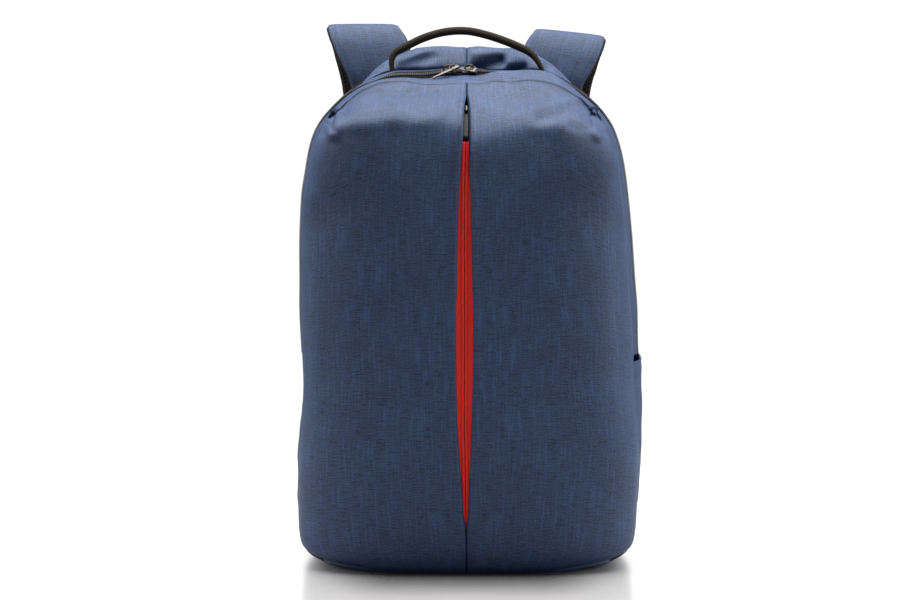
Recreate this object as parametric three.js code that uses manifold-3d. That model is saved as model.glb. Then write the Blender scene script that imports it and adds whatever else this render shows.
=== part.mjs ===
// A soft day backpack that stands on its base: navy cloth walls round one hollow compartment,
// a front parted in a slit over a red zip, a black zip up the sides and over the top, a padded
// back, a carry handle and two padded shoulder straps folded back over the top.
// Millimetres, +Z up, front towards -Y, origin in the middle of the base.
import * as THREE from "three";
import { mergeVertices } from "three/addons/utils/BufferGeometryUtils.js";
import Module from "manifold-3d";

const wasm = await Module();
wasm.setup();
const { lerp, smoothstep, degToRad } = THREE.MathUtils;

// Cloth and seams
const wall = 2; // thickness of a cloth wall
const seamGap = 0.4; // left open along each sewn seam
const baseThickness = 2.5;

// Depths of the bag
const seamY = { side: -25, top: -6 }; // where the front panel meets the gusset
const backY = 57.5; // where the gusset meets the padded back
const padThickness = 6.5; // of the back, at its middle
const padEdge = 3; // of the back, at its rim
const topDrop = 8; // fall of the top from the back towards the front
const gussetBulge = 2;
const frontRoundness = 2.7; // exponent of the front's rounded section
const frontEase = 0.75; // how far rows of faces crowd towards the base and the top

// Half of the bag's outline, seen from the front, from the base up to the middle of the top
const outlineRows = [
  { x: 128, z: baseThickness + 0.3 },
  { x: 143, z: 12 },
  { x: 150, z: 28 },
  { x: 153, z: 60 },
  { x: 153.7, z: 105 },
  { x: 151.3, z: 160 },
  { x: 150.8, z: 200 },
  { x: 148, z: 250 },
  { x: 146, z: 300 },
  { x: 141.6, z: 350 },
  { x: 134.6, z: 385 },
  { x: 124.3, z: 406 },
  { x: 107, z: 423 },
  { x: 75, z: 436 },
  { x: 38, z: 440.5 },
  { x: 0, z: 442 },
];

// How far the soft sides lean across at each height
const swayRows = [
  { z: 0, x: 0.3 },
  { z: 60, x: 1.5 },
  { z: 110, x: 3.2 },
  { z: 165, x: 4.8 },
  { z: 230, x: 1.5 },
  { z: 290, x: -0.8 },
  { z: 350, x: -2.2 },
  { z: 404, x: -2 },
  { z: 420, x: 0 },
  { z: 450, x: 0 },
];

// The front on the centre line, seen from the side
const profileRows = [
  { z: 0, y: -58 },
  { z: 10, y: -68 },
  { z: 28, y: -76 },
  { z: 70, y: -80 },
  { z: 150, y: -82 },
  { z: 250, y: -79 },
  { z: 330, y: -72 },
  { z: 376, y: -64 },
  { z: 396, y: -54 },
  { z: 414, y: -34 },
  { z: 434, y: seamY.top },
];

// Half the width of the slit between the two front panels
const slitRows = [
  { z: 0, half: 0.2 },
  { z: 44, half: 0.2 },
  { z: 58, half: 1.3 },
  { z: 84, half: 2.9 },
  { z: 128, half: 5 },
  { z: 175, half: 6.8 },
  { z: 215, half: 7 },
  { z: 290, half: 5.8 },
  { z: 335, half: 4.9 },
  { z: 370, half: 3.7 },
  { z: 398, half: 2.7 },
  { z: 412, half: 2.3 },
  { z: 419, half: 1.3 },
  { z: 424, half: 0.2 },
  { z: 450, half: 0.2 },
];

// Soft dents pressed into the front: place, half sizes and depth
const frontDents = [
  { x: -52, z: 372, across: 26, up: 16, depth: 3 },
  { x: -112, z: 388, across: 14, up: 12, depth: 4 },
  { x: 108, z: 392, across: 14, up: 12, depth: 4 },
  { x: 62, z: 398, across: 24, up: 12, depth: 2.5 },
  { x: 120, z: 250, across: 16, up: 60, depth: 2 },
  { x: -122, z: 180, across: 14, up: 50, depth: 2 },
];

// The gusset runs from the front seam (share 0) to the padded back (share 1)
const gusset = { zipFrom: 0.28, zipTo: 0.41, zipEndZ: 190, zipInset: 1, zipCoil: 1.4 };

// Flat pockets on the lower sides
const pocket = { mouthZ: 185, mouthInset: 2.5, slack: 1.5, seam: 0.4 };

// Red zip of the front pocket, set behind the slit
const frontZip = { half: 15, footZ: 34, headZ: 428, edgeDepth: 3.5, midDepth: 6.6, tape: 1.2, centreGap: 0.25 };

// Padded roll behind the handle: half its width at the foot and along the ridge
const yoke = { frontY: 40, rearY: 63, ridgeZ: 463, ridgeHalf: 46, footHalf: 98, footRise: 5, sides: 12 };
const yokeDents = [
  { x: -30, across: 16, depth: 2 },
  { x: 22, across: 12, depth: 5 },
  { x: 52, across: 12, depth: 4 },
  { x: -62, across: 12, depth: 3 },
];

// Carry handle: half of its middle line, from the middle of the arch to the sewn end
const handleRows = [
  { x: 0, z: 477.5 },
  { x: 26, z: 474.5 },
  { x: 47, z: 466.5 },
  { x: 60, z: 458 },
  { x: 65.5, z: 449 },
  { x: 67, z: 440 },
];
const handle = { y: 27, lean: 4, tall: 7, deep: 13, steps: 26, sides: 10 };

// Shoulder strap: middle line, half width and how far through the padded stretch
const strapRows = [
  { x: 76, y: 70, z: 396, half: 26 },
  { x: 78.5, y: 70, z: 432, half: 28.5 },
  { x: 86, y: 72, z: 462, half: 35 },
  { x: 96, y: 81, z: 478.5, half: 32.5 },
  { x: 96.5, y: 93, z: 476.5, half: 32 },
  { x: 93, y: 100, z: 455, half: 32 },
  { x: 86, y: 107, z: 415, half: 31 },
  { x: 88, y: 111, z: 340, half: 30.5 },
  { x: 95, y: 107, z: 260, half: 29.5 },
  { x: 101, y: 97, z: 190, half: 28 },
];
const strap = { shell: 5, lining: 4, gap: 0.3, steps: 26, edgeRound: 0.35 };
const strapSides = [
  { name: "left", side: -1, lift: 0, roll: 0, inward: 4.2 },
  { name: "right", side: 1, lift: -5, roll: -6, inward: 4.8 },
];

// Lower end of a strap: plain adjuster and webbing down to the base of the back
const adjuster = {
  half: 17,
  tall: 24,
  thick: 4,
  corner: 3,
  slots: [{ from: 3.2, to: 8.7, half: 13 }, { from: 15.3, to: 20.8, half: 13.5 }],
};
const webbing = { half: 12.5, thick: 1.8, steps: 12, footZ: 40, footY: 67 };

// Zip sliders and their pulls
const frontSlider = { length: 7.6, width: 6.4, height: 2.2, bail: 6.4, bailWide: 1.2, bailClear: 2.3, bailBar: 0.9 };
const frontPull = { length: 24, eyeWide: 3.4, eyeLong: 5.6, holeWide: 1.9, neck: 3.4, foot: 4.8, thick: 1.2, rim: 0.7 };
const mainSlider = { length: 13.5, width: 8.5, height: 3, bail: 7.6, bailWide: 1.5, bailClear: 2.6, bailBar: 1.3 };
const mainPull = { length: 23, eyeWide: 9, eyeLong: 6.4, holeWide: 6.6, neck: 4.4, foot: 5.4, thick: 1.4, rim: 0.8 };
const frontSliderZ = 411;
const frontPullTilt = 7; // degrees inwards from the slope of the zip
const mainSliders = [
  { name: "left", x: -16.5, heading: 213, tilt: 5 },
  { name: "right", x: 2.5, heading: 146, tilt: 4 },
];

// Colours and finishes
const finishes = {
  navy: new THREE.MeshStandardMaterial({ color: 0x2c3f63, roughness: 0.9 }),
  red: new THREE.MeshStandardMaterial({ color: 0xc4241b, roughness: 0.75 }),
  black: new THREE.MeshStandardMaterial({ color: 0x1d1a19, roughness: 0.85 }),
  mesh: new THREE.MeshStandardMaterial({ color: 0x16161a, roughness: 0.95 }),
  plastic: new THREE.MeshStandardMaterial({ color: 0x141416, roughness: 0.5 }),
  metal: new THREE.MeshStandardMaterial({ color: 0x6d675f, roughness: 0.35, metalness: 1 }),
  tab: new THREE.MeshStandardMaterial({ color: 0x6b6b6c, roughness: 0.45, metalness: 0.6 }),
};

const bag = new THREE.Group();

function add(name, geometry, finish, parent = bag) {
  geometry.computeVertexNormals();
  const mesh = new THREE.Mesh(geometry, finishes[finish]);
  mesh.name = name;
  parent.add(mesh);
  return mesh;
}

// A smooth function through the rows of a table, from one named column to another
function through(rows, from, to) {
  const slope = (i) => {
    const a = rows[Math.max(i - 1, 0)];
    const b = rows[Math.min(i + 1, rows.length - 1)];
    return (b[to] - a[to]) / (b[from] - a[from]);
  };
  return (value) => {
    let i = 0;
    while (i < rows.length - 2 && value > rows[i + 1][from]) i += 1;
    const span = rows[i + 1][from] - rows[i][from];
    const t = THREE.MathUtils.clamp((value - rows[i][from]) / span, 0, 1);
    const rise = rows[i + 1][to] - rows[i][to];
    const bend = t * (1 - t) * ((1 - t) * (slope(i) * span - rise) - t * (slope(i + 1) * span - rise));
    return rows[i][to] + t * rise + bend;
  };
}

// The sum of soft dents at a place
function dentAt(dents, place, keys) {
  return dents.reduce((sum, dent) => {
    const far = keys.reduce((d, key) => d + ((place[key.at] - dent[key.at]) / dent[key.size]) ** 2, 0);
    return sum + dent.depth * Math.exp(-far);
  }, 0);
}

// Turns triangles the right way out if their solid's volume comes out negative
function closedGeometry(points, triangles) {
  const volume = triangles.reduce((sum, [a, b, c]) => {
    return sum + points[a].dot(new THREE.Vector3().crossVectors(points[b], points[c]));
  }, 0);
  const index = triangles.flatMap(([a, b, c]) => (volume < 0 ? [a, c, b] : [a, b, c]));
  return new THREE.BufferGeometry().setFromPoints(points).setIndex(index);
}

// A wall between two surfaces of the same two shares, closed round its rim
function wallGeometry(outer, inner, across, up) {
  const points = [];
  const triangles = [];
  const layers = [outer, inner];
  const at = (layer, i, j) => (layer * (up + 1) + j) * (across + 1) + i;
  layers.forEach((surface) => {
    for (let j = 0; j <= up; j += 1) {
      for (let i = 0; i <= across; i += 1) points.push(surface(i / across, j / up));
    }
  });
  const quad = (a, b, c, d) => triangles.push([a, b, c], [a, c, d]);
  for (let j = 0; j < up; j += 1) {
    for (let i = 0; i < across; i += 1) {
      quad(at(0, i, j), at(0, i + 1, j), at(0, i + 1, j + 1), at(0, i, j + 1));
      quad(at(1, i, j), at(1, i, j + 1), at(1, i + 1, j + 1), at(1, i + 1, j));
    }
  }
  for (let i = 0; i < across; i += 1) {
    quad(at(0, i, 0), at(1, i, 0), at(1, i + 1, 0), at(0, i + 1, 0));
    quad(at(0, i, up), at(0, i + 1, up), at(1, i + 1, up), at(1, i, up));
  }
  for (let j = 0; j < up; j += 1) {
    quad(at(0, 0, j), at(0, 0, j + 1), at(1, 0, j + 1), at(1, 0, j));
    quad(at(0, across, j), at(1, across, j), at(1, across, j + 1), at(0, across, j + 1));
  }
  return closedGeometry(points, triangles);
}

// A solid through rings of points, capped at both ends
function loftGeometry(rings) {
  const sides = rings[0].length;
  const points = rings.flat();
  const triangles = [];
  for (let k = 0; k < rings.length - 1; k += 1) {
    for (let i = 0; i < sides; i += 1) {
      const a = k * sides + i;
      const b = k * sides + ((i + 1) % sides);
      triangles.push([a, b, b + sides], [a, b + sides, a + sides]);
    }
  }
  const last = (rings.length - 1) * sides;
  for (let i = 1; i < sides - 1; i += 1) {
    triangles.push([0, i + 1, i], [last, last + i, last + i + 1]);
  }
  return closedGeometry(points, triangles);
}

// Two overlapping closed shapes joined into one solid
function fuse(first, second) {
  const solids = [first, second].map((geometry) => {
    const bare = new THREE.BufferGeometry().setAttribute("position", geometry.getAttribute("position"));
    const merged = mergeVertices(geometry.index ? bare.setIndex(geometry.index) : bare);
    const vertProperties = new Float32Array(merged.getAttribute("position").array);
    return new wasm.Manifold(new wasm.Mesh({ numProp: 3, vertProperties, triVerts: new Uint32Array(merged.index.array) }));
  });
  const joined = solids[0].add(solids[1]).getMesh();
  return new THREE.BufferGeometry()
    .setAttribute("position", new THREE.BufferAttribute(joined.vertProperties, 3))
    .setIndex(new THREE.BufferAttribute(joined.triVerts, 1));
}

const profileY = through(profileRows, "z", "y");
const slitHalf = through(slitRows, "z", "half");
const swayX = through(swayRows, "z", "x");
const halfOutline = new THREE.SplineCurve(outlineRows.map((row) => new THREE.Vector2(row.x, row.z)));

// The share of the half outline at which its side reaches a height
function shareAtHeight(z) {
  let low = 0;
  let high = 1;
  for (let step = 0; step < 40; step += 1) {
    const middle = (low + high) / 2;
    if (halfOutline.getPointAt(middle).y < z) low = middle;
    else high = middle;
  }
  return low;
}

const topZ = outlineRows[outlineRows.length - 1].z;
const cornerShare = shareAtHeight(416);
const zipEndShare = shareAtHeight(gusset.zipEndZ);

function frontSeamY(share) {
  if (share <= cornerShare) return seamY.side;
  const across = (1 - share) / (1 - cornerShare);
  return lerp(seamY.side, seamY.top, 1 - across * across);
}

// The gusset: along the half outline, then from the front seam to the back, then into the bag
function gussetPoint(side, share, depth, inset) {
  const place = halfOutline.getPointAt(share);
  const along = halfOutline.getTangentAt(share);
  const bulge = gussetBulge * 4 * depth * (1 - depth) * smoothstep(share, 0, 0.2);
  const out = bulge - inset;
  const drop = topDrop * smoothstep(place.y, topZ - 90, topZ) * (1 - depth) ** 2;
  const x = side * (place.x + along.y * out) + swayX(place.y) * Math.min(1, place.x / 60);
  const y = lerp(frontSeamY(share), backY, depth);
  return new THREE.Vector3(x, y, place.y - along.x * out - drop);
}

// Half of the front: from the slit out to the gusset, and from the base up to the top seam
function frontPoint(side, u, v, inset) {
  const across = Math.sin((u * Math.PI) / 2);
  const up = v - (frontEase * Math.sin(2 * Math.PI * v)) / (2 * Math.PI);
  const edgeAt = (share) => gussetPoint(side, share, 0, inset).multiply(new THREE.Vector3(side, 1, 1));
  const foot = edgeAt(0);
  const head = edgeAt(1);
  const corner = edgeAt(cornerShare);
  const edge = edgeAt(cornerShare * up);
  const arch = edgeAt(1 - (1 - cornerShare) * across);
  arch.x = Math.max(arch.x, slitHalf(head.z));
  const middleZ = lerp(foot.z, head.z, up);
  const blend = (key, middle, start, end) => {
    const rim = lerp(lerp(start, foot[key], across), arch[key], up);
    const sides = lerp(middle, edge[key], across);
    const corners = lerp(lerp(start, foot[key], across), lerp(end, corner[key], across), up);
    return rim + sides - corners;
  };
  const x = blend("x", slitHalf(middleZ), slitHalf(foot.z), slitHalf(head.z));
  const z = blend("z", middleZ, foot.z, head.z);
  const rounded = (1 - across ** frontRoundness) ** (1 / frontRoundness);
  const full = lerp(rounded, 1 - across * across, smoothstep(up, 0.8, 1));
  const inward = inset * (1 - smoothstep(up, 0.9, 1));
  const dentKeys = [{ at: "x", size: "across" }, { at: "z", size: "up" }];
  const dent = dentAt(frontDents, { x: side * x, z }, dentKeys) * full;
  const y = seamY.side + (profileY(middleZ) + inward - seamY.side) * full + dent - seamGap;
  return new THREE.Vector3(side * x, y, z);
}

function addFrontPanels() {
  [["left", -1], ["right", 1]].forEach(([name, side]) => {
    const layer = (inset) => (u, v) => frontPoint(side, u, v, inset);
    add(`front_panel_${name}`, wallGeometry(layer(0), layer(wall), 12, 22), "navy");
  });
}

// A strip of the gusset that runs from one zip end over the top to the other
function gussetStrip(from, to, inset, columns, rows) {
  const layer = (extra) => (u, v) => {
    const s = 2 * v - 1;
    const share = lerp(1, zipEndShare, Math.abs(s));
    const depth = lerp(from, to, u);
    return gussetPoint(s < 0 ? -1 : 1, share, depth, inset(u) + extra);
  };
  return wallGeometry(layer(0), layer(wall), columns, rows);
}

function addGusset() {
  const slack = 0.004; // share of the depth left open beside the zip
  const flush = () => 0;
  const coil = (u) => gusset.zipInset - gusset.zipCoil * smoothstep(1 - Math.abs(2 * u - 1), 0.4, 0.9);
  add("gusset_front", gussetStrip(0, gusset.zipFrom - slack, flush, 2, 44), "navy");
  add("main_zip_tape", gussetStrip(gusset.zipFrom, gusset.zipTo, coil, 4, 44), "black");
  add("gusset_rear", gussetStrip(gusset.zipTo + slack, 1, flush, 3, 44), "navy");
}

// The lower sides, drawn in behind the pockets that cover them
function addSides() {
  const columns = 6;
  const rows = 10;
  const mouthShare = shareAtHeight(pocket.mouthZ);
  const shareAt = (v) => {
    const below = 1 - 1 / rows;
    if (v <= below) return lerp(0, mouthShare, v / below);
    return lerp(mouthShare, zipEndShare - 0.002, (v - below) * rows);
  };
  const coverInset = (share) => pocket.mouthInset * smoothstep(share, mouthShare * 0.6, mouthShare);
  const panelInset = (share, depth) => {
    if (share > mouthShare + 0.001) return wall + pocket.seam;
    const sag = Math.sin(Math.PI * depth) * smoothstep(share, 0, mouthShare * 0.4);
    return coverInset(share) + wall + pocket.seam + pocket.slack * sag * (1 - smoothstep(share, mouthShare * 0.5, mouthShare));
  };
  [["left", -1], ["right", 1]].forEach(([name, side]) => {
    const panel = (extra) => (u, v) => {
      const share = shareAt(v);
      return gussetPoint(side, share, u, panelInset(share, u) + extra);
    };
    add(`side_panel_${name}`, wallGeometry(panel(0), panel(wall), columns, rows), "navy");
    const cover = (extra) => (u, v) => {
      const share = shareAt(v * (1 - 1 / rows)) * 0.995;
      return gussetPoint(side, share, u, coverInset(share) + extra);
    };
    add(`side_pocket_${name}`, wallGeometry(cover(0), cover(wall), columns, rows - 1), "navy");
  });
}

// The flat base inside the foot of the walls
function addBase() {
  const foot = outlineRows[0].x;
  const layer = (z) => (u, v) => {
    const s = 2 * u - 1;
    const x = foot * Math.sin((s * Math.PI) / 2);
    const front = frontPoint(1, Math.abs(s), 0, 0).y;
    return new THREE.Vector3(x, lerp(front, backY + padThickness, v), z);
  };
  add("base_panel", wallGeometry(layer(baseThickness), layer(0), 8, 1), "navy");
}

// The padded back, crowned towards the wearer
function addBack() {
  const rim = 0.6;
  const cornerAt = 0.86; // share of the half outline at which the pad's side turns into its top
  const layer = (rear) => (u, v) => {
    const s = 2 * u - 1;
    const side = s < 0 ? -1 : 1;
    const far = Math.abs(s);
    const at = (share) => gussetPoint(side, share, 1, rim).multiply(new THREE.Vector3(side, 1, 1));
    const foot = at(0);
    const corner = at(cornerAt);
    const edge = at(cornerAt * v);
    const arch = at(lerp(1, cornerAt, far));
    const blend = (key, middle) => {
      const rim = lerp(lerp(middle(0), foot[key], far), arch[key], v);
      const sides = lerp(middle(v), edge[key], far);
      return rim + sides - lerp(lerp(middle(0), foot[key], far), lerp(middle(1), corner[key], far), v);
    };
    const x = blend("x", () => 0);
    const z = blend("z", (up) => lerp(foot.z, at(1).z, up));
    const crown = (1 - s ** 6) * (1 - (2 * v - 1) ** 16);
    const y = backY + seamGap + (rear ? lerp(padEdge, padThickness, crown) : 0);
    return new THREE.Vector3(side * x, y, z);
  };
  add("back_panel", wallGeometry(layer(true), layer(false), 12, 12), "mesh");
}

// Red zip: two tapes that meet on the centre line, sunk behind the slit
function zipFrame(z) {
  const step = 1;
  const slope = (profileY(z + step) - profileY(z - step)) / (2 * step);
  const along = new THREE.Vector3(0, slope, 1).normalize();
  const inward = new THREE.Vector3(0, along.z, -along.y);
  return { origin: new THREE.Vector3(0, profileY(z) - seamGap, z), along, inward };
}

function zipPoint(x, z, depth) {
  const frame = zipFrame(z);
  return frame.origin.addScaledVector(frame.inward, depth).setX(x);
}

function addFrontZip() {
  [["left", -1], ["right", 1]].forEach(([name, side]) => {
    const layer = (extra) => (u, v) => {
      const z = lerp(frontZip.footZ, frontZip.headZ, v);
      const deep = lerp(frontZip.midDepth, frontZip.edgeDepth, smoothstep(u, 0.35, 1));
      return zipPoint(side * lerp(frontZip.centreGap, frontZip.half, u), z, deep + extra);
    };
    add(`front_zip_tape_${name}`, wallGeometry(layer(0), layer(frontZip.tape), 4, 26), "red");
  });
}

// A slider with its bail, lying along X with its underside at z = 0
function sliderGeometry(size) {
  const half = size.length / 2;
  const nose = size.width * 0.3;
  const body = new THREE.Shape();
  body.moveTo(-half, -nose);
  body.lineTo(-half * 0.4, -size.width / 2);
  body.lineTo(half * 0.8, -size.width / 2);
  body.lineTo(half, -nose);
  body.lineTo(half, nose);
  body.lineTo(half * 0.8, size.width / 2);
  body.lineTo(-half * 0.4, size.width / 2);
  body.lineTo(-half, nose);
  const solid = new THREE.ExtrudeGeometry(body, { depth: size.height, bevelEnabled: false });
  const reach = size.bail / 2;
  const inner = reach - size.bailBar;
  const rise = size.bailClear + size.bailBar;
  const sunk = -0.4;
  const arch = new THREE.Shape();
  arch.moveTo(-reach, sunk);
  arch.lineTo(-inner, sunk);
  arch.lineTo(-inner, size.bailClear);
  arch.lineTo(inner, size.bailClear);
  arch.lineTo(inner, sunk);
  arch.lineTo(reach, sunk);
  arch.lineTo(reach, size.bailClear);
  arch.lineTo(inner, rise);
  arch.lineTo(-inner, rise);
  arch.lineTo(-reach, size.bailClear);
  const bail = new THREE.ExtrudeGeometry(arch, { depth: size.bailWide, bevelEnabled: false });
  bail.translate(0, 0, -size.bailWide / 2);
  bail.rotateX(Math.PI / 2);
  bail.translate(0, 0, size.height);
  return fuse(solid, bail);
}

// A pull that turns about Y at its origin, with its tab along +X
function pullGeometry(size) {
  const plate = new THREE.Shape();
  const shoulder = size.eyeLong + size.rim * 2;
  plate.moveTo(-size.rim, -size.eyeWide / 2 + size.rim);
  plate.lineTo(0, -size.eyeWide / 2);
  plate.lineTo(size.eyeLong, -size.eyeWide / 2);
  plate.lineTo(shoulder, -size.neck / 2);
  plate.lineTo(size.length - 1, -size.foot / 2);
  plate.lineTo(size.length, -size.foot / 2 + 1);
  plate.lineTo(size.length, size.foot / 2 - 1);
  plate.lineTo(size.length - 1, size.foot / 2);
  plate.lineTo(shoulder, size.neck / 2);
  plate.lineTo(size.eyeLong, size.eyeWide / 2);
  plate.lineTo(0, size.eyeWide / 2);
  plate.lineTo(-size.rim, size.eyeWide / 2 - size.rim);
  const hole = new THREE.Path();
  hole.moveTo(size.rim, -size.holeWide / 2);
  hole.lineTo(size.eyeLong, -size.holeWide / 2);
  hole.lineTo(size.eyeLong, size.holeWide / 2);
  hole.lineTo(size.rim, size.holeWide / 2);
  plate.holes.push(hole);
  const solid = new THREE.ExtrudeGeometry(plate, { depth: size.thick, bevelEnabled: false });
  return solid.translate(0, 0, -size.thick / 2);
}

// A group whose X runs along one direction and whose Z points outwards
function seat(origin, along, outward) {
  const group = new THREE.Group();
  const across = new THREE.Vector3().crossVectors(outward, along);
  group.setRotationFromMatrix(new THREE.Matrix4().makeBasis(along, across, outward));
  group.position.copy(origin);
  bag.add(group);
  return group;
}

function addFrontSlider() {
  const frame = zipFrame(frontSliderZ);
  const outward = frame.inward.clone().negate();
  const down = frame.along.clone().negate();
  const under = frontZip.midDepth - seamGap;
  const place = seat(zipPoint(0, frontSliderZ, under), down, outward);
  add("front_zip_slider", sliderGeometry(frontSlider), "metal", place);
  const pull = add("front_zip_pull", pullGeometry(frontPull), "tab", place);
  pull.position.set(-0.6, 0, frontSlider.height + frontSlider.bailClear * 0.55);
  pull.rotation.y = degToRad(frontPullTilt);
}

function addMainSliders() {
  const depth = (gusset.zipFrom + gusset.zipTo) / 2;
  mainSliders.forEach(({ name, x, heading, tilt }) => {
    const share = 1 - Math.abs(x) / halfOutline.getLength();
    const side = Math.sign(x);
    const lifted = gussetPoint(side, share, depth, gusset.zipInset - gusset.zipCoil);
    const rear = gussetPoint(side, share, depth + 0.05, gusset.zipInset - gusset.zipCoil);
    const rise = rear.sub(lifted).normalize();
    const along = new THREE.Vector3(1, 0, 0);
    const outward = new THREE.Vector3().crossVectors(along, rise).normalize();
    lifted.addScaledVector(outward, seamGap + 0.3);
    const place = seat(lifted, along, outward);
    add(`main_zip_slider_${name}`, sliderGeometry(mainSlider), "metal", place);
    const turn = new THREE.Group();
    turn.position.set(side * 0.6, 0, mainSlider.height + mainSlider.bailClear * 0.55);
    turn.rotation.z = degToRad(heading);
    place.add(turn);
    const pull = add(`main_zip_pull_${name}`, pullGeometry(mainPull), "metal", turn);
    pull.rotation.y = degToRad(tilt);
  });
}

// The roll behind the handle, in two halves sewn on the centre line
function addYoke() {
  const stations = 12;
  [["left", -1], ["right", 1]].forEach(([name, side]) => {
    const rings = [];
    for (let k = 0; k <= stations; k += 1) {
      const x = lerp(0.2, yoke.footHalf, k / stations);
      const share = 1 - x / halfOutline.getLength();
      const ground = gussetPoint(1, share, 0.9, 0).z + 0.1;
      const slope = smoothstep(x, yoke.ridgeHalf, yoke.footHalf);
      const ridge = lerp(yoke.ridgeZ, ground + yoke.footRise, slope);
      const dent = dentAt(yokeDents, { x: side * x }, [{ at: "x", size: "across" }]);
      const ring = [];
      for (let i = 0; i < yoke.sides; i += 1) {
        const angle = (2 * Math.PI * i) / yoke.sides;
        const bow = Math.sign(Math.sin(angle)) * Math.abs(Math.sin(angle)) ** 0.7;
        const reach = Math.sign(Math.cos(angle)) * Math.abs(Math.cos(angle)) ** 0.7;
        const z = lerp(ground, ridge, (1 + bow) / 2);
        const front = yoke.frontY + dent * (1 - Math.abs(bow));
        const y = lerp(front, yoke.rearY, (1 + reach * lerp(1, 0.7, (1 + bow) / 2)) / 2);
        ring.push(new THREE.Vector3(side * x, y, z));
      }
      rings.push(ring);
    }
    add(`yoke_${name}`, loftGeometry(rings), "navy");
  });
}

// Rings of an ellipse along a curve, wide across one fixed direction
function tubeRings(curve, steps, ringAt) {
  const rings = [];
  for (let k = 0; k <= steps; k += 1) {
    rings.push(ringAt(curve.getPointAt(k / steps), curve.getTangentAt(k / steps), k / steps));
  }
  return rings;
}

function addHandle() {
  const arch = [...handleRows.slice(1).reverse().map((row) => ({ ...row, x: -row.x })), ...handleRows];
  const lean = (z) => handle.y + handle.lean * smoothstep(z, handleRows[5].z, handleRows[0].z);
  const curve = new THREE.CatmullRomCurve3(arch.map((row) => new THREE.Vector3(row.x, lean(row.z), row.z)));
  const rings = tubeRings(curve, handle.steps, (place, along) => {
    const deep = new THREE.Vector3(0, 1, 0);
    const tall = new THREE.Vector3().crossVectors(along, deep).normalize();
    return Array.from({ length: handle.sides }, (_, i) => {
      const angle = (2 * Math.PI * i) / handle.sides;
      const point = place.clone().addScaledVector(tall, (Math.sin(angle) * handle.tall) / 2);
      return point.addScaledVector(deep, (Math.cos(angle) * handle.deep) / 2);
    });
  });
  add("carry_handle", loftGeometry(rings), "black");
}

// A layer of a strap: a flat rounded section between two distances from the middle line
function strapRing(place, along, half, low, high, roll) {
  const out = new THREE.Vector3(0, -along.z, along.y).normalize();
  const across = new THREE.Vector3(Math.cos(roll), 0, Math.sin(roll));
  const middle = (low + high) / 2;
  const thick = (high - low) / 2;
  const corners = [
    [-1, 0], [-1 + strap.edgeRound / 3, 1], [0, 1], [1 - strap.edgeRound / 3, 1],
    [1, 0], [1 - strap.edgeRound / 3, -1], [0, -1], [-1 + strap.edgeRound / 3, -1],
  ];
  return corners.map(([a, b]) => {
    return place.clone().addScaledVector(across, a * half).addScaledVector(out, middle + b * thick);
  });
}

function addStraps() {
  const halfAt = through(strapRows.map((row, i) => ({ at: i / (strapRows.length - 1), half: row.half })), "at", "half");
  strapSides.forEach(({ name, side, lift, roll, inward }) => {
    const raised = (row) => row.z + lift * smoothstep(row.z, 400, 480);
    const line = strapRows.map((row) => new THREE.Vector3(side * (row.x - inward), row.y, raised(row)));
    const curve = new THREE.CatmullRomCurve3(line);
    const layer = (low, high) => tubeRings(curve, strap.steps, (place, along, t) => {
      const turn = degToRad(roll) * side * smoothstep(t, 0, 0.15) * (1 - smoothstep(t, 0.35, 0.6));
      return strapRing(place, along, halfAt(t), low, high, turn);
    });
    add(`strap_shell_${name}`, loftGeometry(layer(strap.gap / 2, strap.shell)), "navy");
    add(`strap_lining_${name}`, loftGeometry(layer(-strap.lining, -strap.gap / 2)), "mesh");
    addStrapEnd(name, curve.getPointAt(1), curve.getTangentAt(1).setX(0).normalize());
  });
}

// Ladder adjuster at the end of a padded strap, and the webbing from it to the base of the back
function addStrapEnd(name, end, along) {
  const out = new THREE.Vector3(0, -along.z, along.y).normalize();
  const place = seat(end.clone().addScaledVector(along, 0.4), along, out);
  const frame = new THREE.Shape();
  const { half, tall, corner } = adjuster;
  frame.moveTo(0, -half);
  frame.lineTo(tall - corner, -half);
  frame.lineTo(tall, -half + corner);
  frame.lineTo(tall, half - corner);
  frame.lineTo(tall - corner, half);
  frame.lineTo(0, half);
  adjuster.slots.forEach((slot) => {
    const hole = new THREE.Path();
    hole.moveTo(slot.from, -slot.half);
    hole.lineTo(slot.to, -slot.half);
    hole.lineTo(slot.to, slot.half);
    hole.lineTo(slot.from, slot.half);
    frame.holes.push(hole);
  });
  const plate = new THREE.ExtrudeGeometry(frame, { depth: adjuster.thick, bevelEnabled: false });
  add(`strap_adjuster_${name}`, plate.translate(0, 0, -adjuster.thick / 2), "plastic", place);
  const start = end.clone().addScaledVector(along, tall + 0.8);
  const foot = new THREE.Vector3(end.x, webbing.footY, webbing.footZ);
  const sag = start.clone().lerp(foot, 0.55).add(new THREE.Vector3(0, 5, 0));
  const curve = new THREE.CatmullRomCurve3([start, sag, foot]);
  const rings = tubeRings(curve, webbing.steps, (point, tangent) => {
    const normal = new THREE.Vector3(0, -tangent.z, tangent.y).normalize();
    return [[-1, -1], [1, -1], [1, 1], [-1, 1]].map(([a, b]) => {
      const edge = point.clone().addScaledVector(normal, (b * webbing.thick) / 2);
      return edge.setX(point.x + a * webbing.half);
    });
  });
  add(`strap_webbing_${name}`, loftGeometry(rings), "black");
}

addFrontPanels();
addGusset();
addSides();
addBase();
addBack();
addFrontZip();
addFrontSlider();
addMainSliders();
addYoke();
addHandle();
addStraps();

export default bag;
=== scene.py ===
import math

import bpy
import numpy as np
from mathutils import Matrix, Vector


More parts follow.
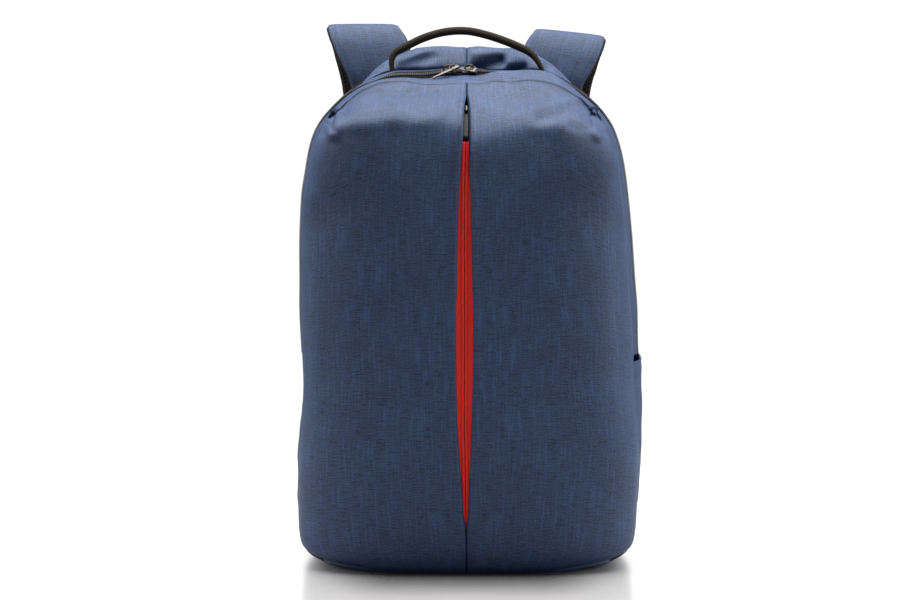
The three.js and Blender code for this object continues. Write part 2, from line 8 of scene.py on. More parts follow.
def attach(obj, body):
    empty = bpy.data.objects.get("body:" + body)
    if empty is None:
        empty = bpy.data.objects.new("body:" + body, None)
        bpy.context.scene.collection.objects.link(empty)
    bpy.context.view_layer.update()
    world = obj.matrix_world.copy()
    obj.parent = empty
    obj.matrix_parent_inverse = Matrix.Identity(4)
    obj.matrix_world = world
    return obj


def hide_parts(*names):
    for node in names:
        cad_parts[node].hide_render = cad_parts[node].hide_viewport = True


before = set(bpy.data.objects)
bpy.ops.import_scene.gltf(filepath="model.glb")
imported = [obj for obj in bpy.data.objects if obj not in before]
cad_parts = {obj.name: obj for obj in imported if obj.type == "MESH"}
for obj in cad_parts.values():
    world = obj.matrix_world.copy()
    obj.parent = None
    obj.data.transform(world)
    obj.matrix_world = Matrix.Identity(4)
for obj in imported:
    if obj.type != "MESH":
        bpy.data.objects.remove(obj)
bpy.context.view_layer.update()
mm = 0.001  # every table below is in millimetres
print("frame loaded:", len(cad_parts), "nodes")


# camera where the photo was taken from: 2.4 m off, 6 degrees above
view = {
    "far": 2.4, "up": 6.0, "aim": (0, 0, 0.25), "wide": 0.81, "sensor": 36.0,
    "aimPixel": (466.7, 286.2), "image": (900, 600),
}


def placeCamera():
    lens = bpy.data.cameras.new("camera")
    lens.sensor_width = view["sensor"]
    lens.lens = lens.sensor_width * view["far"] / view["wide"]
    lens.shift_x = (view["image"][0] / 2 - view["aimPixel"][0]) / view["image"][0]
    lens.shift_y = (view["aimPixel"][1] - view["image"][1] / 2) / view["image"][0]
    camera = bpy.data.objects.new("camera", lens)
    bpy.context.scene.collection.objects.link(camera)
    tilt = math.radians(view["up"])
    offset = Vector((0, -math.cos(tilt), math.sin(tilt))) * view["far"]
    camera.location = Vector(view["aim"]) + offset
    camera.rotation_euler = (math.radians(90) - tilt, 0, 0)
    bpy.context.scene.camera = camera


placeCamera()


sideOf = {"left": -1, "right": 1}


# small tools for shapes
def smooth(value, low, high):
    t = np.clip((np.asarray(value, float) - low) / (high - low), 0.0, 1.0)
    return t * t * (3.0 - 2.0 * t)


def mix(a, b, t):
    return a + (b - a) * t


def hump(value, middle, wide):
    return np.exp(-(((np.asarray(value, float) - middle) / wide) ** 2))


def curveThrough(rows):
    at = np.array([row[0] for row in rows], float)
    to = np.array([row[1] for row in rows], float)
    slope = np.gradient(to)
    slope[1:-1] = (to[2:] - to[:-2]) / (at[2:] - at[:-2])
    slope[0] = (to[1] - to[0]) / (at[1] - at[0])
    slope[-1] = (to[-1] - to[-2]) / (at[-1] - at[-2])

    def value(x):
        x = np.asarray(x, float)
        i = np.clip(np.searchsorted(at, x) - 1, 0, len(at) - 2)
        span = at[i + 1] - at[i]
        t = np.clip((x - at[i]) / span, 0.0, 1.0)
        rise = to[i + 1] - to[i]
        bend = (1 - t) * (slope[i] * span - rise) - t * (slope[i + 1] * span - rise)
        return to[i] + t * rise + t * (1 - t) * bend

    return value


def splineThrough(points, count):
    p = np.array(points, float)
    t = np.linspace(0, len(p) - 1, count)
    i = np.minimum(t.astype(int), len(p) - 2)
    f = (t - i)[:, None]
    before, here, after = p[np.maximum(i - 1, 0)], p[i], p[i + 1]
    beyond = p[np.minimum(i + 2, len(p) - 1)]
    a, b = (after - before) / 2, (beyond - here) / 2
    return (2 * here - 2 * after + a + b) * f**3 + (3 * after - 3 * here - 2 * a - b) * f**2 + a * f + here


def evenly(points, count):
    far = np.concatenate([[0], np.cumsum(np.linalg.norm(np.diff(points, axis=0), axis=1))])
    at = np.linspace(0, far[-1], count)
    return np.stack([np.interp(at, far, points[:, k]) for k in range(points.shape[1])], -1)


def unit(vectors):
    return vectors / np.maximum(np.linalg.norm(vectors, axis=-1, keepdims=True), 1e-9)


def window(value, opens, opened, shuts, shut):
    return smooth(value, opens, opened) * (1 - smooth(value, shuts, shut))


def squarer(wave, power):  # pushes a circle's sine or cosine towards a square's
    return np.sign(wave) * np.abs(wave) ** power


def bySide(side, left, right):
    return np.where(np.asarray(side) < 0, left, right)


def ripple(a, b, wave, seed):
    rng = np.random.default_rng(seed)
    total, waves = 0.0, 7
    for _ in range(waves):
        turn, phase, size = rng.uniform(0, math.pi), rng.uniform(0, 2 * math.pi), rng.uniform(0.6, 1.6)
        total = total + np.sin((np.cos(turn) * a + np.sin(turn) * b) * 2 * math.pi / (wave * size) + phase)
    return total / math.sqrt(waves)


def creaseField(x, z, creases):
    total = np.zeros(np.broadcast(x, z).shape)
    for crease in creases:
        (ax, az), (bx, bz) = crease["line"]
        t = np.clip(((x - ax) * (bx - ax) + (z - az) * (bz - az)) / ((bx - ax) ** 2 + (bz - az) ** 2), 0, 1)
        far = np.hypot(x - mix(ax, bx, t), z - mix(az, bz, t))
        total += crease["out"] * mix(1.0, crease.get("end", 1.0), t) * np.exp(-((far / crease["wide"]) ** 2))
    return total


# tools for meshes
def makeActive(piece):
    bpy.ops.object.select_all(action="DESELECT")
    piece.select_set(True)
    bpy.context.view_layer.objects.active = piece


def applyModifier(piece, kind, **values):
    modifier = piece.modifiers.new(kind.lower(), kind)
    for key, value in values.items():
        setattr(modifier, key, value)
    makeActive(piece)
    bpy.ops.object.modifier_apply(modifier=modifier.name)


def inEditMode(piece, *steps):
    makeActive(piece)
    bpy.ops.object.mode_set(mode="EDIT")
    bpy.ops.mesh.select_all(action="SELECT")
    for step in steps:
        step()
    bpy.ops.object.mode_set(mode="OBJECT")


def roundOff(piece, angle=40):
    makeActive(piece)
    bpy.ops.object.shade_smooth_by_angle(angle=math.radians(angle))


def layGrid(name, points, middle=None):
    rows, cols = points.shape[:2]
    bpy.ops.object.select_all(action="DESELECT")
    bpy.ops.mesh.primitive_grid_add(x_subdivisions=cols - 1, y_subdivisions=rows - 1, size=2.0)
    piece = bpy.context.object
    piece.name = piece.data.name = name
    mesh = piece.data
    flat = np.empty(len(mesh.vertices) * 3)
    mesh.vertices.foreach_get("co", flat)
    i = np.rint((flat[0::3] + 1) / 2 * (cols - 1)).astype(int)
    j = np.rint((flat[1::3] + 1) / 2 * (rows - 1)).astype(int)
    placed = points[j, i] * mm
    mesh.vertices.foreach_set("co", placed.ravel())
    across = np.linalg.norm(np.diff(points, axis=1), axis=2).mean(axis=0)
    along = np.linalg.norm(np.diff(points, axis=0), axis=2).mean(axis=1)
    across = np.concatenate([[0], np.cumsum(across)]) * mm
    along = np.concatenate([[0], np.cumsum(along)]) * mm
    corner = np.empty(len(mesh.loops), int)
    mesh.loops.foreach_get("vertex_index", corner)
    uv = np.stack([across[i[corner]], along[j[corner]]], -1)  # cloth metres, so weaves keep their size
    mesh.uv_layers.active.data.foreach_set("uv", uv.ravel())
    mesh.update()
    if middle is not None:
        facing = np.empty(len(mesh.polygons) * 3)
        mesh.polygons.foreach_get("normal", facing)
        centre = np.empty(len(mesh.polygons) * 3)
        mesh.polygons.foreach_get("center", centre)
        if np.sum(facing.reshape(-1, 3) * (centre.reshape(-1, 3) - np.array(middle) * mm)) < 0:
            inEditMode(piece, bpy.ops.mesh.flip_normals)
    return piece


def layTube(name, rings):
    piece = layGrid(name, np.concatenate([rings, rings[:, :1]], axis=1))
    inEditMode(
        piece,
        lambda: bpy.ops.mesh.remove_doubles(threshold=1e-6),
        lambda: bpy.ops.mesh.fill_holes(sides=0),
        lambda: bpy.ops.mesh.normals_make_consistent(inside=False),
    )
    return piece


def pipeAlong(name, path, radius, level):
    outward = unit(np.cross(unit(np.gradient(path, axis=0)), np.array(level)))
    turn = np.arange(12)[None, :, None] * math.pi / 6
    ring = outward[:, None] * np.cos(turn) + np.array(level) * np.sin(turn)
    piece = layTube(name, path[:, None] + radius[:, None, None] * ring)
    roundOff(piece, 60)
    return piece


def joinUp(first, *others):
    bpy.ops.object.select_all(action="DESELECT")
    for piece in (first, *others):
        piece.select_set(True)
    bpy.context.view_layer.objects.active = first
    bpy.ops.object.join()
    return first


def gridNormals(points, middle):
    normal = unit(np.cross(np.gradient(points, axis=1), np.gradient(points, axis=0)))
    facing = np.sum(normal * (points - np.array(middle)), axis=-1)
    return normal if facing.mean() > 0 else -normal


def copiesAlong(name, model, places, along, across, outward):
    co = np.empty(len(model.data.vertices) * 3)
    model.data.vertices.foreach_get("co", co)
    co = co.reshape(-1, 3)
    faces = [list(p.vertices) for p in model.data.polygons]
    axes = (along, across, outward)
    turned = sum(co[None, :, k : k + 1] * axis[:, None] for k, axis in enumerate(axes))
    points = (turned + places[:, None] * mm).reshape(-1, 3)
    mesh = bpy.data.meshes.new(name)
    copies = [[v + k * len(co) for v in face] for k in range(len(places)) for face in faces]
    mesh.from_pydata(points.tolist(), [], copies)
    mesh.update()
    bpy.data.objects.remove(model)
    piece = bpy.data.objects.new(name, mesh)
    bpy.context.scene.collection.objects.link(piece)
    return piece


def makeTooth(size):
    bpy.ops.object.select_all(action="DESELECT")
    bpy.ops.mesh.primitive_cube_add(size=1.0)
    tooth = bpy.context.object
    tooth.data.transform(Matrix.Diagonal((size["long"] * mm, size["wide"] * mm, size["tall"] * mm, 1)))
    inEditMode(tooth, lambda: bpy.ops.mesh.bevel(offset=size["tall"] * 0.25 * mm, segments=1))
    return tooth


# a seam's thread: one short stitch, copied along lines that lie on a piece
thread = {"pitch": 3.2, "long": 2.3, "wide": 0.5, "tall": 0.4}


def sewAlong(name, runs, material):
    rows = []
    for piece, path in runs:
        length = np.linalg.norm(np.diff(path, axis=0), axis=1).sum()
        spots = evenly(path, int(length / thread["pitch"]))
        hits = [piece.closest_point_on_mesh(Vector(spot) * mm) for spot in spots]
        places = np.array([hit[1][:] for hit in hits]) / mm
        rows.append((places, unit(np.gradient(places, axis=0)), np.array([hit[2][:] for hit in hits])))
    places, along, outward = (np.concatenate(part) for part in zip(*rows))
    across = unit(np.cross(outward, along))
    stitches = copiesAlong(name, makeTooth(thread), places, along, across, outward)
    roundOff(stitches, 30)
    dress(stitches, material)


# padded pieces are blown up a little between their seams
filling = {"frames": 18, "stiff": 12.0, "bend": 0.3}


def puff(piece, sewn, pressure, most):
    rest = np.array([v.co[:] for v in piece.data.vertices])
    group = piece.vertex_groups.new(name="sewn")
    group.add([int(i) for i in np.flatnonzero(sewn(rest / mm))], 1.0, "REPLACE")
    cloth = piece.modifiers.new("cloth", "CLOTH")
    cloth.settings.vertex_group_mass = group.name
    cloth.settings.use_pressure = True
    cloth.settings.uniform_pressure_force = pressure
    cloth.settings.effector_weights.gravity = 0.0
    cloth.settings.tension_stiffness = cloth.settings.compression_stiffness = filling["stiff"]
    cloth.settings.bending_stiffness = filling["bend"]
    cloth.collision_settings.use_collision = False
    cloth.point_cache.frame_end = filling["frames"]
    for step in range(1, filling["frames"] + 1):
        bpy.context.scene.frame_set(step)
    puffed = piece.evaluated_get(bpy.context.evaluated_depsgraph_get())
    moved = np.array([v.co[:] for v in puffed.data.vertices]) - rest
    far = np.linalg.norm(moved, axis=1, keepdims=True)
    moved *= np.minimum(1.0, most * mm / np.maximum(far, 1e-9))
    piece.modifiers.remove(cloth)
    piece.vertex_groups.remove(group)
    piece.data.vertices.foreach_set("co", (rest + moved).ravel())
    piece.data.update()
    bpy.context.scene.frame_set(1)
    print("puffed", piece.name, "by up to %.1f mm" % (far.max() / mm))


def dress(piece, material, nodes=(), body="bag"):
    piece.data.materials.clear()
    piece.data.materials.append(material)
    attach(piece, body)
    if nodes:
        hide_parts(*nodes)
    return piece


# finishes
def feed(tree, socket, value):
    if isinstance(value, bpy.types.NodeSocket):
        tree.links.new(value, socket)
    else:
        socket.default_value = value


def calc(tree, operation, a, b=0.0, c=None):
    node = tree.nodes.new("ShaderNodeMath")
    node.operation = operation
    feed(tree, node.inputs[0], a)
    feed(tree, node.inputs[1], b)
    if c is not None:
        feed(tree, node.inputs[2], c)
    return node.outputs[0]


def noise(tree, vector, scale, detail=2.0, rough=0.55):
    mapping = tree.nodes.new("ShaderNodeMapping")
    feed(tree, mapping.inputs["Vector"], vector)
    mapping.inputs["Scale"].default_value = scale
    node = tree.nodes.new("ShaderNodeTexNoise")
    feed(tree, node.inputs["Vector"], mapping.outputs[0])
    node.inputs["Scale"].default_value = 1.0
    node.inputs["Detail"].default_value = detail
    node.inputs["Roughness"].default_value = rough
    return node.outputs[0]


def startGroup(name, inputs, outputs):
    group = bpy.data.node_groups.new(name, "ShaderNodeTree")
    for socket, kind, value in inputs:
        made = group.interface.new_socket(socket, in_out="INPUT", socket_type=kind)
        if value is not None:
            made.default_value = value
    for socket, kind in outputs:
        group.interface.new_socket(socket, in_out="OUTPUT", socket_type=kind)
    return group, group.nodes.new("NodeGroupInput"), group.nodes.new("NodeGroupOutput")


# the navy cloth: dark dashes along the weft, pale streaks up the warp, patches and specks
slub = {
    "weft": (95, 1150, 1), "weftFrom": 0.45, "weftTone": -1.7, "warp": (480, 32, 1), "warpFrom": 0.49,
    "warpTone": 1.5, "patch": (18, 40, 1), "patchTone": 0.25, "speck": (900, 900, 1), "speckTone": 1.3,
    "shift": 0.04, "weave": 0.06,
}


def makeSlubWeave():
    group, start, end = startGroup(
        "slubWeave",
        [
            ("Vector", "NodeSocketVector", None),
            ("Pitch", "NodeSocketFloat", 0.0008),
            ("Slub", "NodeSocketFloat", 1.0),
        ],
        [("Tone", "NodeSocketFloat"), ("Height", "NodeSocketFloat")],
    )
    vector, pitch, strength = (start.outputs[k] for k in ("Vector", "Pitch", "Slub"))

    def above(scale, detail, level):
        return calc(group, "SUBTRACT", noise(group, vector, scale, detail), level)

    parts = group.nodes.new("ShaderNodeSeparateXYZ")
    group.links.new(vector, parts.inputs[0])
    turns = calc(group, "DIVIDE", 2 * math.pi, pitch)
    warp = calc(group, "SINE", calc(group, "MULTIPLY", parts.outputs[0], turns))
    weft = calc(group, "SINE", calc(group, "MULTIPLY", parts.outputs[1], turns))
    weave = calc(group, "MULTIPLY", warp, weft)
    weftDash = calc(group, "MAXIMUM", above(slub["weft"], 1.0, slub["weftFrom"]), 0.0)
    warpStreak = calc(group, "MAXIMUM", above(slub["warp"], 2.0, slub["warpFrom"]), 0.0)
    patch, speck = above(slub["patch"], 2.0, 0.5), above(slub["speck"], 1.0, 0.5)
    slubs = calc(group, "MULTIPLY_ADD", weftDash, slub["weftTone"], slub["shift"])
    slubs = calc(group, "MULTIPLY_ADD", warpStreak, slub["warpTone"], slubs)
    slubs = calc(group, "MULTIPLY_ADD", patch, slub["patchTone"], slubs)
    slubs = calc(group, "MULTIPLY", calc(group, "MULTIPLY_ADD", speck, slub["speckTone"], slubs), strength)
    tone = calc(group, "MULTIPLY_ADD", weave, slub["weave"], 0.5)
    group.links.new(calc(group, "ADD", tone, slubs), end.inputs["Tone"])
    group.links.new(calc(group, "ADD", calc(group, "MULTIPLY", weave, 0.5), slubs), end.inputs["Height"])
    return group


def makeRibWeave():
    group, start, end = startGroup(
        "ribWeave",
        [
            ("Vector", "NodeSocketVector", None),
            ("Rib", "NodeSocketFloat", 0.0016),
            ("Slant", "NodeSocketFloat", 0.6),
        ],
        [("Tone", "NodeSocketFloat"), ("Height", "NodeSocketFloat")],
    )
    parts = group.nodes.new("ShaderNodeSeparateXYZ")
    group.links.new(start.outputs["Vector"], parts.inputs[0])
    turns = calc(group, "DIVIDE", 2 * math.pi, start.outputs["Rib"])
    fold = calc(group, "PINGPONG", parts.outputs[0], calc(group, "MULTIPLY", start.outputs["Rib"], 2.0))
    slanted = calc(group, "MULTIPLY_ADD", fold, start.outputs["Slant"], parts.outputs[1])
    rib = calc(group, "SINE", calc(group, "MULTIPLY", slanted, turns))
    finer = calc(group, "MULTIPLY", turns, 1.5)
    strand = calc(group, "SINE", calc(group, "MULTIPLY", parts.outputs[0], finer))
    fuzz = calc(group, "SUBTRACT", noise(group, start.outputs["Vector"], (700, 700, 1), 2.0), 0.5)
    both = calc(group, "MULTIPLY_ADD", rib, 0.5, calc(group, "MULTIPLY", strand, 0.25))
    group.links.new(calc(group, "ADD", both, fuzz), end.inputs["Height"])
    group.links.new(calc(group, "MULTIPLY_ADD", calc(group, "ADD", both, fuzz), 0.4, 0.5), end.inputs["Tone"])
    return group


def makeAirMesh():
    group, start, end = startGroup(
        "airMesh",
        [("Vector", "NodeSocketVector", None), ("Pitch", "NodeSocketFloat", 0.003)],
        [("Tone", "NodeSocketFloat"), ("Height", "NodeSocketFloat")],
    )
    parts = group.nodes.new("ShaderNodeSeparateXYZ")
    group.links.new(start.outputs["Vector"], parts.inputs[0])
    turns = calc(group, "DIVIDE", 2 * math.pi, start.outputs["Pitch"])
    waves = []
    for angle in (0, 120, 240):
        a = calc(group, "MULTIPLY", parts.outputs[0], math.cos(math.radians(angle)))
        b = calc(group, "MULTIPLY_ADD", parts.outputs[1], math.sin(math.radians(angle)), a)
        waves.append(calc(group, "COSINE", calc(group, "MULTIPLY", b, turns)))
    total = calc(group, "ADD", calc(group, "ADD", waves[0], waves[1]), waves[2])
    hole = calc(group, "SMOOTH_MIN", calc(group, "MULTIPLY", total, 0.6), 1.0, 0.3)
    net = calc(group, "SUBTRACT", 1.0, calc(group, "MAXIMUM", hole, 0.0))
    group.links.new(net, end.inputs["Height"])
    group.links.new(net, end.inputs["Tone"])
    return group


slubWeave, ribWeave, airMesh = makeSlubWeave(), makeRibWeave(), makeAirMesh()


def wovenFinish(name, group, values, dark, light, rough, bump, deep, shine=0.2):
    material = bpy.data.materials.new(name)
    material.use_nodes = True
    tree = material.node_tree
    shader = tree.nodes["Principled BSDF"]
    place = tree.nodes.new("ShaderNodeTexCoord")
    weave = tree.nodes.new("ShaderNodeGroup")
    weave.node_tree = group
    tree.links.new(place.outputs["UV"], weave.inputs["Vector"])
    for key, value in values.items():
        weave.inputs[key].default_value = value
    ramp = tree.nodes.new("ShaderNodeValToRGB")
    ramp.color_ramp.elements[0].color = (*dark, 1)
    ramp.color_ramp.elements[1].color = (*light, 1)
    ramp.color_ramp.elements[0].position = 0.12
    ramp.color_ramp.elements[1].position = 0.88
    tree.links.new(weave.outputs["Tone"], ramp.inputs[0])
    tree.links.new(ramp.outputs[0], shader.inputs["Base Color"])
    relief = tree.nodes.new("ShaderNodeBump")
    relief.inputs["Strength"].default_value = bump
    relief.inputs["Distance"].default_value = deep
    tree.links.new(weave.outputs["Height"], relief.inputs["Height"])
    tree.links.new(relief.outputs[0], shader.inputs["Normal"])
    shader.inputs["Roughness"].default_value = rough
    shader.inputs["Specular IOR Level"].default_value = shine
    return material


def hardFinish(name, dark, light, rough, metal, grain, deep, shine=0.5):
    material = bpy.data.materials.new(name)
    material.use_nodes = True
    tree = material.node_tree
    shader = tree.nodes["Principled BSDF"]
    place = tree.nodes.new("ShaderNodeTexCoord")
    spots = noise(tree, place.outputs["Object"], (grain, grain, grain), 4.0, 0.6)
    ramp = tree.nodes.new("ShaderNodeValToRGB")
    ramp.color_ramp.elements[0].color = (*dark, 1)
    ramp.color_ramp.elements[1].color = (*light, 1)
    ramp.color_ramp.elements[0].position = 0.3
    ramp.color_ramp.elements[1].position = 0.7
    tree.links.new(spots, ramp.inputs[0])
    tree.links.new(ramp.outputs[0], shader.inputs["Base Color"])
    tree.links.new(calc(tree, "MULTIPLY_ADD", spots, 0.25, rough - 0.12), shader.inputs["Roughness"])
    relief = tree.nodes.new("ShaderNodeBump")
    relief.inputs["Strength"].default_value = 0.3
    relief.inputs["Distance"].default_value = deep
    tree.links.new(spots, relief.inputs["Height"])
    tree.links.new(relief.outputs[0], shader.inputs["Normal"])
    shader.inputs["Metallic"].default_value = metal
    shader.inputs["Specular IOR Level"].default_value = shine
    return material


navyCloth = wovenFinish(
    "navyCloth", slubWeave, {"Pitch": 0.0008, "Slub": 1.0},
    dark=(0.0060, 0.0140, 0.037), light=(0.028, 0.070, 0.182), rough=0.54, bump=0.5, deep=0.0003, shine=0.45,
)
blackMesh = wovenFinish(
    "blackMesh", airMesh, {"Pitch": 0.0034},
    dark=(0.002, 0.002, 0.002), light=(0.028, 0.027, 0.028), rough=0.9, bump=0.9, deep=0.0012,
)
blackWebbing = wovenFinish(
    "blackWebbing", ribWeave, {"Rib": 0.0016, "Slant": 0.6},
    dark=(0.004, 0.003, 0.002), light=(0.050, 0.036, 0.028), rough=0.85, bump=0.9, deep=0.0005, shine=0.12,
)
zipTape = wovenFinish(
    "zipTape", ribWeave, {"Rib": 0.0009, "Slant": 0.8},
    dark=(0.003, 0.003, 0.003), light=(0.011, 0.010, 0.010), rough=0.9, bump=0.6, deep=0.0003, shine=0.1,
)
zipCoil = hardFinish(
    "zipCoil", dark=(0.020, 0.016, 0.014), light=(0.055, 0.046, 0.040), rough=0.6, metal=0.0, grain=900,
    deep=0.0001,
)
redTape = wovenFinish(
    "redTape", ribWeave, {"Rib": 0.0009, "Slant": 0.8},
    dark=(0.94, 0.026, 0.021), light=(1.0, 0.058, 0.036), rough=0.6, bump=0.5, deep=0.0002,
)
gunmetal = hardFinish(
    "gunmetal", dark=(0.045, 0.041, 0.037), light=(0.13, 0.12, 0.107), rough=0.4, metal=1.0, grain=700,
    deep=0.00005,
)
tabGrey = hardFinish(
    "tabGrey", dark=(0.020, 0.020, 0.022), light=(0.036, 0.036, 0.040), rough=0.5, metal=0.0, grain=900,
    deep=0.00005, shine=0.25,
)
navyThread = hardFinish(
    "navyThread", dark=(0.010, 0.018, 0.040), light=(0.030, 0.060, 0.140), rough=0.7, metal=0.0, grain=1200,
    deep=0.0001,
)
blackPlastic = hardFinish(
    "blackPlastic", dark=(0.012, 0.012, 0.013), light=(0.022, 0.022, 0.024), rough=0.55, metal=0.0,
    grain=1500, deep=0.00006,
)
print("finishes made:", len(bpy.data.materials))


# the bag's form, shared by its walls
bag = {
    "heart": (0, 10, 220),  # a point inside, so that faces know which way is out
    "seamGap": 0.15, "seamSide": -25.0, "seamTop": -6.0, "back": 57.5, "bulge": 2.0,
    "round": (2.7, 4.2), "rowEase": 0.6, "cornerHeight": 416.0,
    "zipFrom": 0.28, "zipTo": 0.41, "zipEnd": 190.0,  # the main zip, in shares of the depth, and its ends
    "crownRise": 3.2, "crownAt": (78, 30),  # how the top is drawn up and hangs down
    "hemLift": 4.0, "hemLiftOver": (34, 56, 86, 112),
    "zipSag": 2.4, "zipSagOver": (14, 40, 80, 105), "zipSagAt": (0.34, 0.14),
    "tipFrom": {-1: (62, 84), 1: (6, 34)},  # where the top changes from tipping forward to lying flat
    "breakLift": {-1: 12.0, 1: 5.5},  # how high the front breaks under the shoulders
    "lipLift": {-1: 1.25, 1: 0.4},  # and the share of that beside the slit
}
flareAt = {  # how far the front seam lies inside the sides
    -1: curveThrough([(0, 1.5), (450, 1.5)]),
    1: curveThrough([
        (0, 1.5), (60, 1.5), (110, 3), (138, 5.5), (170, 8), (200, 6), (240, 4.6), (300, 3.6), (450, 3.5),
    ]),
}
cornerPullAt = {  # how far the stuffed corners are drawn in, by height
    -1: curveThrough([
        (0, 0), (330, 0.4), (354, 1.6), (384, 1.9), (400, 2.6), (412, 2.6), (420, 2.3), (432, 0.8), (445, 0),
    ]),
    1: curveThrough([
        (0, 0), (360, 0), (384, 0.8), (400, 1.5), (408, 2.0), (414, 3.0), (420, 3.8), (428, 2.8), (436, 1),
        (445, 0),
    ]),
}
# how far the top lies below its back edge, from front to back: in the middle the zip tips forward
topDropAt = curveThrough([(0, 8), (0.27, 4.6), (0.42, -0.8), (0.6, 0), (1, 0)])
sideDropAt = curveThrough([(0, 7.6), (0.27, 3.7), (0.42, 2.9), (0.6, 1.4), (1, 0)])
outlineRows = [  # half of the bag seen from the front, base to top
    (128, 2.8), (143, 12), (150, 28), (153, 60), (153.7, 105), (151.3, 160), (150.8, 200), (148, 250),
    (146, 300), (141.6, 350), (134.6, 385), (124.3, 406), (107, 423), (75, 436), (38, 440.5), (0, 442),
]
swayAt = curveThrough([  # how far the soft sides lean across, by height
    (0, 0.3), (60, 0.9), (110, 3.0), (165, 4.8), (230, 1.5), (290, -0.8), (350, -2.2), (404, -2), (420, 0),
    (450, 0),
])
profileAt = curveThrough([  # the front on the centre line, seen from the side
    (0, -58), (10, -68), (28, -76), (70, -80), (150, -82), (250, -79.5), (330, -75), (362, -72.3),
    (374, -70.2), (383, -66.8), (391, -61.4), (398, -54.8), (406, -45.7), (414, -35.5), (424, -21),
    (434, -6),
])
slitAt = curveThrough([  # half the slit's width, by height
    (0, 0.2), (41, 0.2), (47, 0.7), (61, 2.1), (74, 2.8), (88, 3.6), (101, 4.4), (114, 5.0), (140, 6.2),
    (167, 6.9), (193, 7.3), (232, 7.4), (259, 6.7), (285, 6.3), (312, 5.6), (338, 4.7), (351, 4.1),
    (364, 3.4), (378, 3.0), (386, 2.6), (398, 2.4), (410, 2.0), (418, 1.2), (424, 0.2), (450, 0.2),
])
slitLeanAt = curveThrough([  # and how far it leans
    (0, 0), (40, -0.5), (61, -0.8), (88, -1.2), (114, -1.6), (140, -2.1), (193, -1.8), (300, -1.9),
    (351, -1.6), (378, -1.2), (386, -0.8), (410, -0.4), (425, -0.2), (450, 0),
])
outlineShares = np.linspace(0, 1, 4001)
outlineLine = evenly(splineThrough(outlineRows, 6001), 4001)
outlineTurn = unit(np.gradient(outlineLine, axis=0))
outlineLength = np.linalg.norm(np.diff(outlineLine, axis=0), axis=1).sum()


def outlineAt(share):
    return [np.interp(share, outlineShares, row) for row in (*outlineLine.T, *outlineTurn.T)]


def shareAtHeight(z):
    return np.interp(z, outlineLine[:, 1], outlineShares)


cornerShare = shareAtHeight(bag["cornerHeight"])
zipEndShare = shareAtHeight(bag["zipEnd"])


def frontSeamAt(share):
    across = np.clip((1 - share) / (1 - cornerShare), 0, 1)
    return mix(bag["seamSide"], bag["seamTop"], 1 - across**2)


# a point of the band round the bag: share runs up its outline, depth from the front seam to the back
def gussetAt(side, share, depth, out=0.0):
    x, z, tx, tz = outlineAt(share)
    onTop = smooth(z, 400, 425)
    beforeZip = np.clip(1 - depth / bag["zipFrom"], 0, 1)
    out = bag["bulge"] * 4 * depth * (1 - depth) * smooth(share, 0, 0.2) + out
    flare = bySide(side, flareAt[-1](z), flareAt[1](z))
    out = out - bySide(side, cornerPullAt[-1](z), cornerPullAt[1](z)) * smooth(x, 55, 90)
    out = out - flare * beforeZip**2 * smooth(z, 10, 60) * (1 - onTop)
    tipped = bySide(side, smooth(x, *bag["tipFrom"][-1]), smooth(x, *bag["tipFrom"][1]))
    drop = mix(topDropAt(depth), sideDropAt(depth), tipped) * smooth(z, 352, outlineRows[-1][1])
    drop = drop - bag["crownRise"] * hump(x, *bag["crownAt"]) * onTop
    raised = window(x, *bag["hemLiftOver"]) * onTop
    drop = drop - bag["hemLift"] * raised * beforeZip
    sags = bySide(side, 1, 0) * window(x, *bag["zipSagOver"]) * onTop
    drop = drop + bag["zipSag"] * sags * hump(depth, *bag["zipSagAt"])
    acrossX = side * (x + tz * out) + swayAt(z) * np.minimum(1, x / 60)
    place = (acrossX, mix(frontSeamAt(share), bag["back"], depth), z - tx * out - drop)
    return np.stack(np.broadcast_arrays(*place), -1)


# a point of the front: u from the slit to the side seam, v from the base to the hem
def frontAt(side, u, v):
    across = np.sin(u * math.pi / 2)
    up = v - bag["rowEase"] * np.sin(2 * math.pi * v) / (2 * math.pi)
    turned = np.array([side, 1, 1])
    foot, head, corner = (gussetAt(side, share, 0.0) * turned for share in (0.0, 1.0, cornerShare))
    edge = gussetAt(side, cornerShare * up, 0.0) * turned
    arch = gussetAt(side, 1 - (1 - cornerShare) * across, 0.0) * turned
    middleZ = mix(foot[2], head[2], up)
    arch[..., 0] = np.maximum(arch[..., 0], slitAt(head[2]))

    def blend(k, middle, start, end):
        low = mix(start, foot[k], across)
        rim = mix(low, arch[..., k], up)
        return rim + mix(middle, edge[..., k], across) - mix(low, mix(end, corner[k], across), up)

    x = blend(0, slitAt(middleZ), slitAt(foot[2]), slitAt(head[2]))
    z = blend(2, middleZ, foot[2], head[2])
    power = mix(*bag["round"], smooth(up, 0.72, 0.88))
    rounded = np.maximum(1 - across**power, 0) ** (1 / power)
    full = mix(rounded, 1 - across**2, smooth(up, 0.91, 1))
    lift = bag["breakLift"][side] * hump(middleZ, 398, 24)
    lift = lift * mix(bag["lipLift"][side], 1.0, smooth(across, 0, 0.12))
    y = bag["seamSide"] + (profileAt(middleZ - lift) - bag["seamSide"]) * full - bag["seamGap"]
    lean = slitLeanAt(z) * (1 - across) ** 2
    return np.stack(np.broadcast_arrays(side * x + lean, y, z), -1), full


def layCloth(name, points, thick, angle=40):
    piece = layGrid(name, points, bag["heart"])
    applyModifier(piece, "SOLIDIFY", thickness=thick * mm, offset=-1.0)
    roundOff(piece, angle)
    return piece


